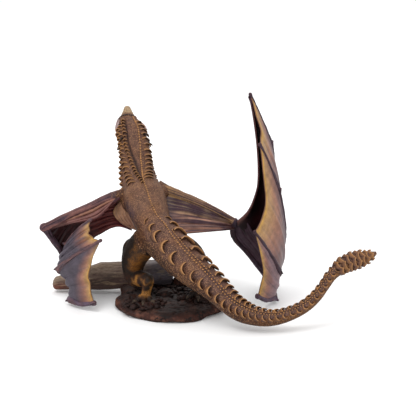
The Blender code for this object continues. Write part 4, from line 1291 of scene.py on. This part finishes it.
def along_bones(points, paths):
    """For each point: the nearest bone, how far along it, the bone's direction and the way out from it."""
    spots, marks = [], []
    for k, path in enumerate(paths):
        curve = smooth(path)
        line = np.array([curve(share) for share in even_shares(curve, 120)])
        run = np.concatenate([[0], np.cumsum(np.linalg.norm(np.diff(line, axis=0), axis=1))])
        ahead = np.gradient(line, axis=0)
        ahead /= np.linalg.norm(ahead, axis=1, keepdims=True)
        spots.append(line)
        marks.append(np.column_stack([np.full(len(line), k), run, ahead, line]))
    spots, marks = np.vstack(spots), np.vstack(marks)
    tree = KDTree(len(spots))
    for i, spot in enumerate(spots):
        tree.insert(spot, i)
    tree.balance()
    near = marks[[tree.find(p)[1] for p in points]]
    ahead, away = near[:, 2:5], points - near[:, 5:8]
    along = np.einsum("ij,ij->i", away, ahead)
    away -= ahead * along[:, None]
    away /= np.maximum(np.linalg.norm(away, axis=1, keepdims=True), 1e-6)
    return near[:, 0], near[:, 1] + along, ahead, away


def wing_bones(name, arm_shapes, paths, fingers, wrist, finish, seed, top):
    """Arm, forearm and finger bones of one wing as one skin, with sinews carved along them."""
    shapes = list(arm_shapes)
    for points in fingers:
        shapes += finger_shapes(points)
    shapes.append(egg(wrist, (6.0, 5.0, 4.8), (0, 1, 0.2)))
    # the lowest finger carries the wing: a thicker bone with knobs along it
    low = fingers[-1]
    shapes.append(limb(low, (4.4, 3.2, 2.9, 3.3, 2.6, 2.4), 1.6, 16))
    knobs = ((1, (3.9, 3.6, 3.6)), (3, (3.9, 3.5, 3.6)), (5, (3.2, 3.0, 3.2)))
    shapes += [egg(low[k], radii) for k, radii in knobs]
    obj = skinned(name, shapes, BONE_GRAIN)
    points = places(obj)
    bone, run, ahead, away = along_bones(points, list(paths) + list(fingers))
    upper = bone == 0
    stretch = np.where(upper, 34.0, 13.0)
    # drawn out along the bone, so that the noise makes sinews
    drawn = (away * np.where(upper, 4.2, 1.9)[:, None] + ahead * (run / stretch)[:, None]
             + bone[:, None] * 5.3 + seed)
    sinew = noise_at(drawn)
    sinew += 0.5 * noise_at(drawn * 2.2 + 4)
    lump = mottle(points, 9, seed)
    lift = 0.2 * lump + np.where(upper, 0.75, 0.5) * np.clip(sinew, -0.8, 0.5)
    set_places(obj, points + directions(obj) * lift[:, None])
    base = mixed("bone purple", "slate violet", 0.4 + 0.6 * lump)
    # painted highlight: bone that faces upwards is lighter, towards dusty rose
    crown = ease(0.25, 0.95, directions(obj)[:, 2])
    base = mixed(base, "dusty rose", 0.3 * crown)
    base = mixed(base, top, np.where(upper, 1.0, 0.0) * ease(-0.25, 0.35, sinew) * 0.9)
    if top == "dusty rose":
        base = mixed(base, mixed("smoke", "dusty rose", 0.4 + 0.7 * sinew), 0.8 * (bone > 1.5))
    low = 1 - ease(14, 40, points[:, 2])
    greyed = 0.7 if top == "tan" else 1.0
    base = mixed(base, "violet grey", greyed * low * ease(-0.3, 0.4, lump + sinew))
    finished(obj, finish, base, np.clip(0.52 + 0.6 * sinew + 0.15 * lump, 0.03, 1), BONES_KEPT)


def wings(finish):
    arm = ARM_RADIUS
    left = [limb(LEFT_ARM, (arm * 1.3, arm * 0.98, arm * 0.84, arm * 0.76, arm * 0.72), 2, 18),
            limb(LEFT_FOREARM, (arm * 0.72, arm * 0.55, arm * 0.55, arm * 0.75), 2, 16),
            egg(LEFT_ELBOW, (5.2, 4.6, 4.8))]
    right = [limb(RIGHT_ARM, (arm * 1.3, arm * 0.92, arm * 0.76, arm * 0.6), 2, 18),
             limb(RIGHT_FOREARM, (arm * 0.68, arm * 0.55, arm * 0.55, arm * 0.65), 2, 16),
             egg(RIGHT_ELBOW, (4.2, 3.5, 3.7))]
    wing_bones("left_wing_bones", left, (LEFT_ARM, LEFT_FOREARM), LEFT_FINGERS, LEFT_WRIST, finish["bones"],
               2.0, "dusty rose")
    wing_bones("right_wing_bones", right, (RIGHT_ARM, RIGHT_FOREARM), RIGHT_FINGERS, RIGHT_WRIST,
               finish["bones"], 9.0, "tan")
    wing_webs(finish["webs"])


# Base

def on_mound(turn, reach):
    """Place on the mound's plan: a turn round its middle and a share of its half sizes."""
    return (math.cos(turn) * reach * MOUND_LENGTH / 2, MOUND_BACK + math.sin(turn) * reach * MOUND_DEPTH / 2)


def mound_shape(sides=96, rows=14):
    """Low rock with a flat top and underside and a broken, bulging edge."""
    levels = ((0.0, 0.955), (0.22, 0.99), (0.62, 1.0), (0.9, 0.93), (1.0, 0.86))
    rings = []
    for i in range(rows + 1):
        height = i / rows
        share = float(table_at(levels, height))
        ring = []
        for k in range(sides):
            turn = 2 * math.pi * k / sides
            lobes = (1 - 0.035 * math.cos(3 * turn + 0.8) - 0.03 * math.sin(5 * turn)
                     - 0.02 * math.cos(9 * turn))
            ledge = 1 - 0.03 * math.sin(7 * turn + 5 * height)
            square = (abs(math.cos(turn)) ** 2.5 + abs(math.sin(turn)) ** 2.5) ** -0.4
            reach = share * lobes * ledge * square * 0.995
            ring.append(Vector((*on_mound(turn, reach), height * MOUND_HEIGHT)))
        rings.append(ring)
    return stitched(rings)


def rubble(finish):
    """Small broken stones heaped round the feet and strewn over the mound."""
    rng = np.random.default_rng(77)
    bm = bmesh.new()
    bmesh.ops.create_icosphere(bm, subdivisions=2, radius=0.5)
    verts = []
    for v in bm.verts:
        swell = 1 + 0.28 * noise.noise(v.co * 3.1) + 0.12 * noise.noise(v.co * 7)
        verts.append(tuple(np.clip(np.array(v.co) * swell, -0.42, 0.38) * 1.15))
    faces = [tuple(v.index for v in f.verts) for f in bm.faces]
    bm.free()
    stone = template("stone", verts, faces, [0.35 + 0.9 * v[2] for v in verts])
    stations = []
    feet = [(LEFT_LEG[-1], 120), (RIGHT_LEG[-1], 70)]
    for foot, count in feet:
        for _ in range(count):
            turn, reach = rng.uniform(0, 2 * math.pi), 5 + 15 * rng.uniform() ** 0.8
            x, y = foot[0] + math.cos(turn) * reach, foot[1] - 5 + math.sin(turn) * reach * 0.9
            big = rng.uniform(3.6, 8.0) * (1.15 - reach / 40)
            stations.append((x, y, MOUND_HEIGHT + big * 0.22 * (1 if reach < 14 else 0.6), big))
    for _ in range(110):
        turn, reach = rng.uniform(-0.4, math.pi + 0.4), 0.80 * math.sqrt(rng.uniform())
        big = rng.uniform(2.0, 7.0)
        stations.append((*on_mound(turn, reach), MOUND_HEIGHT + big * 0.1, big))
    turned = []
    for x, y, z, big in stations:
        if abs(x) > MOUND_LENGTH * 0.42 or abs(y - MOUND_BACK) > MOUND_DEPTH * 0.42:
            continue
        lean = Vector((rng.normal(0, 0.3), rng.normal(0, 0.3), 1)).normalized()
        flow = Vector((rng.normal(), rng.normal(), 0)).normalized()
        turned.append((Vector((x, y, z)), lean, (flow - lean * flow.dot(lean)).normalized(),
                       (big, big * rng.uniform(0.7, 1.1), big * rng.uniform(0.55, 0.85))))
    row("rubble", stone, finish, turned, 0.2, 78, "rock red", "rock black", cad_node="rock_base",
        slot="painted_rock")
    bpy.data.objects.remove(stone)


def base(finish):
    shapes = [mound_shape()]
    for x, y, rx, ry, rz in STONES:
        spot = (x * MOUND_LENGTH / 2, MOUND_BACK + y * MOUND_DEPTH / 2, MOUND_HEIGHT * 0.98)
        shapes.append(egg(spot, (rx, ry, rz)))
    obj = skinned("rock_mound", shapes, ROCK_GRAIN)
    points = places(obj)
    out = directions(obj)
    broad = mottle(points, 16, 3.0, 3)
    crack = np.abs(mottle(points, 9, 7.0, 3))
    fine = mottle(points, 3.0, 5.0)
    lift = 0.9 * broad - 1.1 * np.exp(-(crack / 0.07) ** 2) + 0.3 * fine
    free = ease(0.4, 2.5, points[:, 2])
    under_foot = np.ones(len(points))
    for foot in (LEFT_LEG[-1], RIGHT_LEG[-1]):
        away = np.hypot(points[:, 0] - foot[0], points[:, 1] - (foot[1] - 4))
        under_foot = np.minimum(under_foot, ease(12, 17, away))
    moved = points + out * (np.clip(lift, -1.6, 0.25) * free * np.maximum(under_foot, 0.15))[:, None]
    moved[:, 2] = np.maximum(moved[:, 2], 0)
    set_places(obj, moved)
    pale = ease(0.0, 0.8, mottle(points, 9, 31.0) + 0.3 * fine)
    colour = mixed("rock red", "rock pale", pale * 0.9)
    top = ease(0.35, 0.8, out[:, 2]) * ease(5, 9, points[:, 2])
    colour = mixed(colour, "rock black", 0.65 * top)
    # the mound is darker towards the bottom
    colour = mixed(colour, "dark shade and wash", 0.45 * (1 - ease(0.5, 4.5, points[:, 2])))
    relief = np.clip(0.55 + 0.45 * broad + 0.25 * fine - 0.6 * np.exp(-(crack / 0.09) ** 2), 0, 1)
    finished(obj, finish["rock"], colour, relief, cad_node="rock_base", slot="painted_rock")
    log(finish["wood"])
    rubble(finish["rock"])


def log(finish):
    """Fallen trunk behind the legs, with bark furrows and a broken end."""
    steps, sides = 190, 96
    log_y = MOUND_BACK + MOUND_DEPTH / 2 - LOG_FROM_EDGE
    rings, us, turns = [], [], []
    for i in range(steps + 1):
        share = i / steps
        radius = 0.5 * (LOG_DIAMETER + (LOG_TIP_DIAMETER - LOG_DIAMETER) * max(0.0, share - 0.6) / 0.4)
        closing = math.sqrt(max(0.0, 1 - max(0.0, (share - 0.965) / 0.035) ** 2)) * 0.97 + 0.03
        opening = 0.03 + 0.97 * min(1.0, share / 0.012)
        x = LOG_START_X - LOG_LENGTH * share
        raised = 6 * (1 - share) ** 2
        centre = Vector((x, log_y + 2 * share, 0.8 + radius * 1.09 + raised))
        ring = []
        for k in range(sides):
            turn = 2 * math.pi * k / sides
            bark = 1 + 0.05 * math.sin(3 * turn + 4 * share) - 0.04 * math.cos(5 * turn - 9 * share)
            spoke = Vector((0, math.cos(turn), math.sin(turn)))
            ring.append(centre + spoke * radius * bark * closing * opening * 0.985)
            us.append(share)
            turns.append(turn)
        rings.append(ring)
    obj = made("log", *stitched(rings))
    points = places(obj)
    us, turns = np.array(us), np.array(turns)
    # furrows run along the trunk, so the noise is stretched that way
    around = np.stack([us * 6, np.cos(turns) * 3.2, np.sin(turns) * 3.2], axis=1)
    furrow = noise_at(around * (1, 2.2, 2.2))
    fibre = noise_at(around * (2.5, 7, 7) + 9)
    knots = mottle(points, 20, 12.0)
    body = ease(0.0, 0.03, us) * (1 - ease(0.93, 1.0, us) * 0.7)
    lift = (0.7 * np.clip(furrow, -1, 0.3) + 0.35 * fibre + 0.6 * np.clip(knots, -1, 0.2) - 0.25) * body
    moved = points + directions(obj) * lift[:, None]
    moved[:, 2] = np.maximum(moved[:, 2], 0.8)
    set_places(obj, moved)
    height = np.sin(turns)
    colour = mixed("wood shade", "wood grey", ease(-0.4, 0.8, height + 0.5 * furrow + 0.25 * knots))
    colour = mixed(colour, "wood red", ease(0.80, 0.95, us) * 0.8 * ease(-0.4, 0.6, 0.4 - height))
    colour = mixed(colour, "slate", (1 - ease(0.14, 0.30, us)) * 0.8)
    finished(obj, finish, colour, np.clip(0.62 + 0.6 * furrow + 0.5 * fibre, 0, 1), cad_node="rock_base",
             slot="painted_rock")


# Light, floor and camera

def studio():
    floor = bpy.data.meshes.new("floor")
    corners = [(x * FLOOR_REACH, y * FLOOR_REACH, FLOOR_LEVEL)
               for x, y in ((-1, -1), (1, -1), (1, 1), (-1, 1))]
    floor.from_pydata(corners, [], [(0, 1, 2, 3)])
    ground = bpy.data.objects.new("floor", floor)
    bpy.context.collection.objects.link(ground)
    paper = Nodes("white paper")
    paper.shader.inputs["Base Color"].default_value = (FLOOR_WHITE, FLOOR_WHITE, FLOOR_WHITE, 1)
    paper.shader.inputs["Roughness"].default_value = 0.9
    floor.materials.append(paper.material)
    for name, place, size, power in LAMPS:
        lamp = bpy.data.lights.new(name, "AREA")
        lamp.energy, lamp.size = power, size
        holder = bpy.data.objects.new(name, lamp)
        holder.location = place
        holder.rotation_mode = "QUATERNION"
        holder.rotation_quaternion = (Vector(LAMP_TARGET) - Vector(place)).to_track_quat("-Z", "Y")
        bpy.context.collection.objects.link(holder)
    world = bpy.data.worlds.new("soft white room")
    world.use_nodes = True
    light = world.node_tree.nodes["Background"].inputs
    light[0].default_value, light[1].default_value = (1, 1, 1, 1), ROOM_LIGHT
    bpy.context.scene.world = world
    bpy.context.scene.view_settings.view_transform = "Standard"


def camera():
    """Level with the photograph: looking along +Y from a little above, with no shift."""
    view = bpy.data.cameras.new("camera")
    view.sensor_width = SENSOR
    view.lens = VIEW_FOCAL / VIEW_WIDTH * SENSOR
    view.clip_start, view.clip_end = 0.05, 20
    tilt = math.radians(VIEW_TILT)
    holder = bpy.data.objects.new("camera", view)
    holder.location = Vector(VIEW_TARGET) - Vector((0, math.cos(tilt), -math.sin(tilt))) * VIEW_DISTANCE
    holder.rotation_euler = (math.pi / 2 - tilt, 0, 0)
    bpy.context.collection.objects.link(holder)
    bpy.context.scene.camera = holder


def main():
    finish = {
        "hide": painted_finish("scaly hide paint", wash_to=0.46, glint_share=0.42, glint_from=0.75,
                               speckle_share=0.45),
        "crescents": painted_finish("crescent plate paint", wash_to=0.38, glint_from=0.80, glint_share=0.95),
        "beads": painted_finish("bead paint", wash_to=0.5, glint_from=0.66, glint_share=0.7),
        "bones": painted_finish("wing bone paint", glint="dusty rose", glint_share=0.4, wash="inner black"),
        "webs": painted_finish("wing web paint", wash="maroon", wash_to=0.3, glint="pale rose",
                               glint_from=0.8, glint_share=0.3, speckle=700.0, speckle_share=0.12,
                               roughness=(0.38, 0.55), bump=0.12),
        "eyes": painted_finish("eye paint", glint_share=0.0, speckle_share=0.05, roughness=(0.12, 0.2),
                               bump=0.0),
        "rock": painted_finish("rock paint", wash="rock black", glint="rock pale", glint_share=0.5,
                               speckle=800.0),
        "wood": painted_finish("wood paint", wash="wood shade", glint="sand", glint_share=0.4,
                               speckle=900.0, streaks=(0.25, 1.0, 1.0)),
    }
    camera()
    neck_hide(finish["hide"])
    trunk_hide(finish["hide"])
    claws(finish["bones"])
    head_parts(finish)
    tail_hide(finish["hide"])
    plate_rows(finish)
    wings(finish)
    base(finish)
    studio()


main()
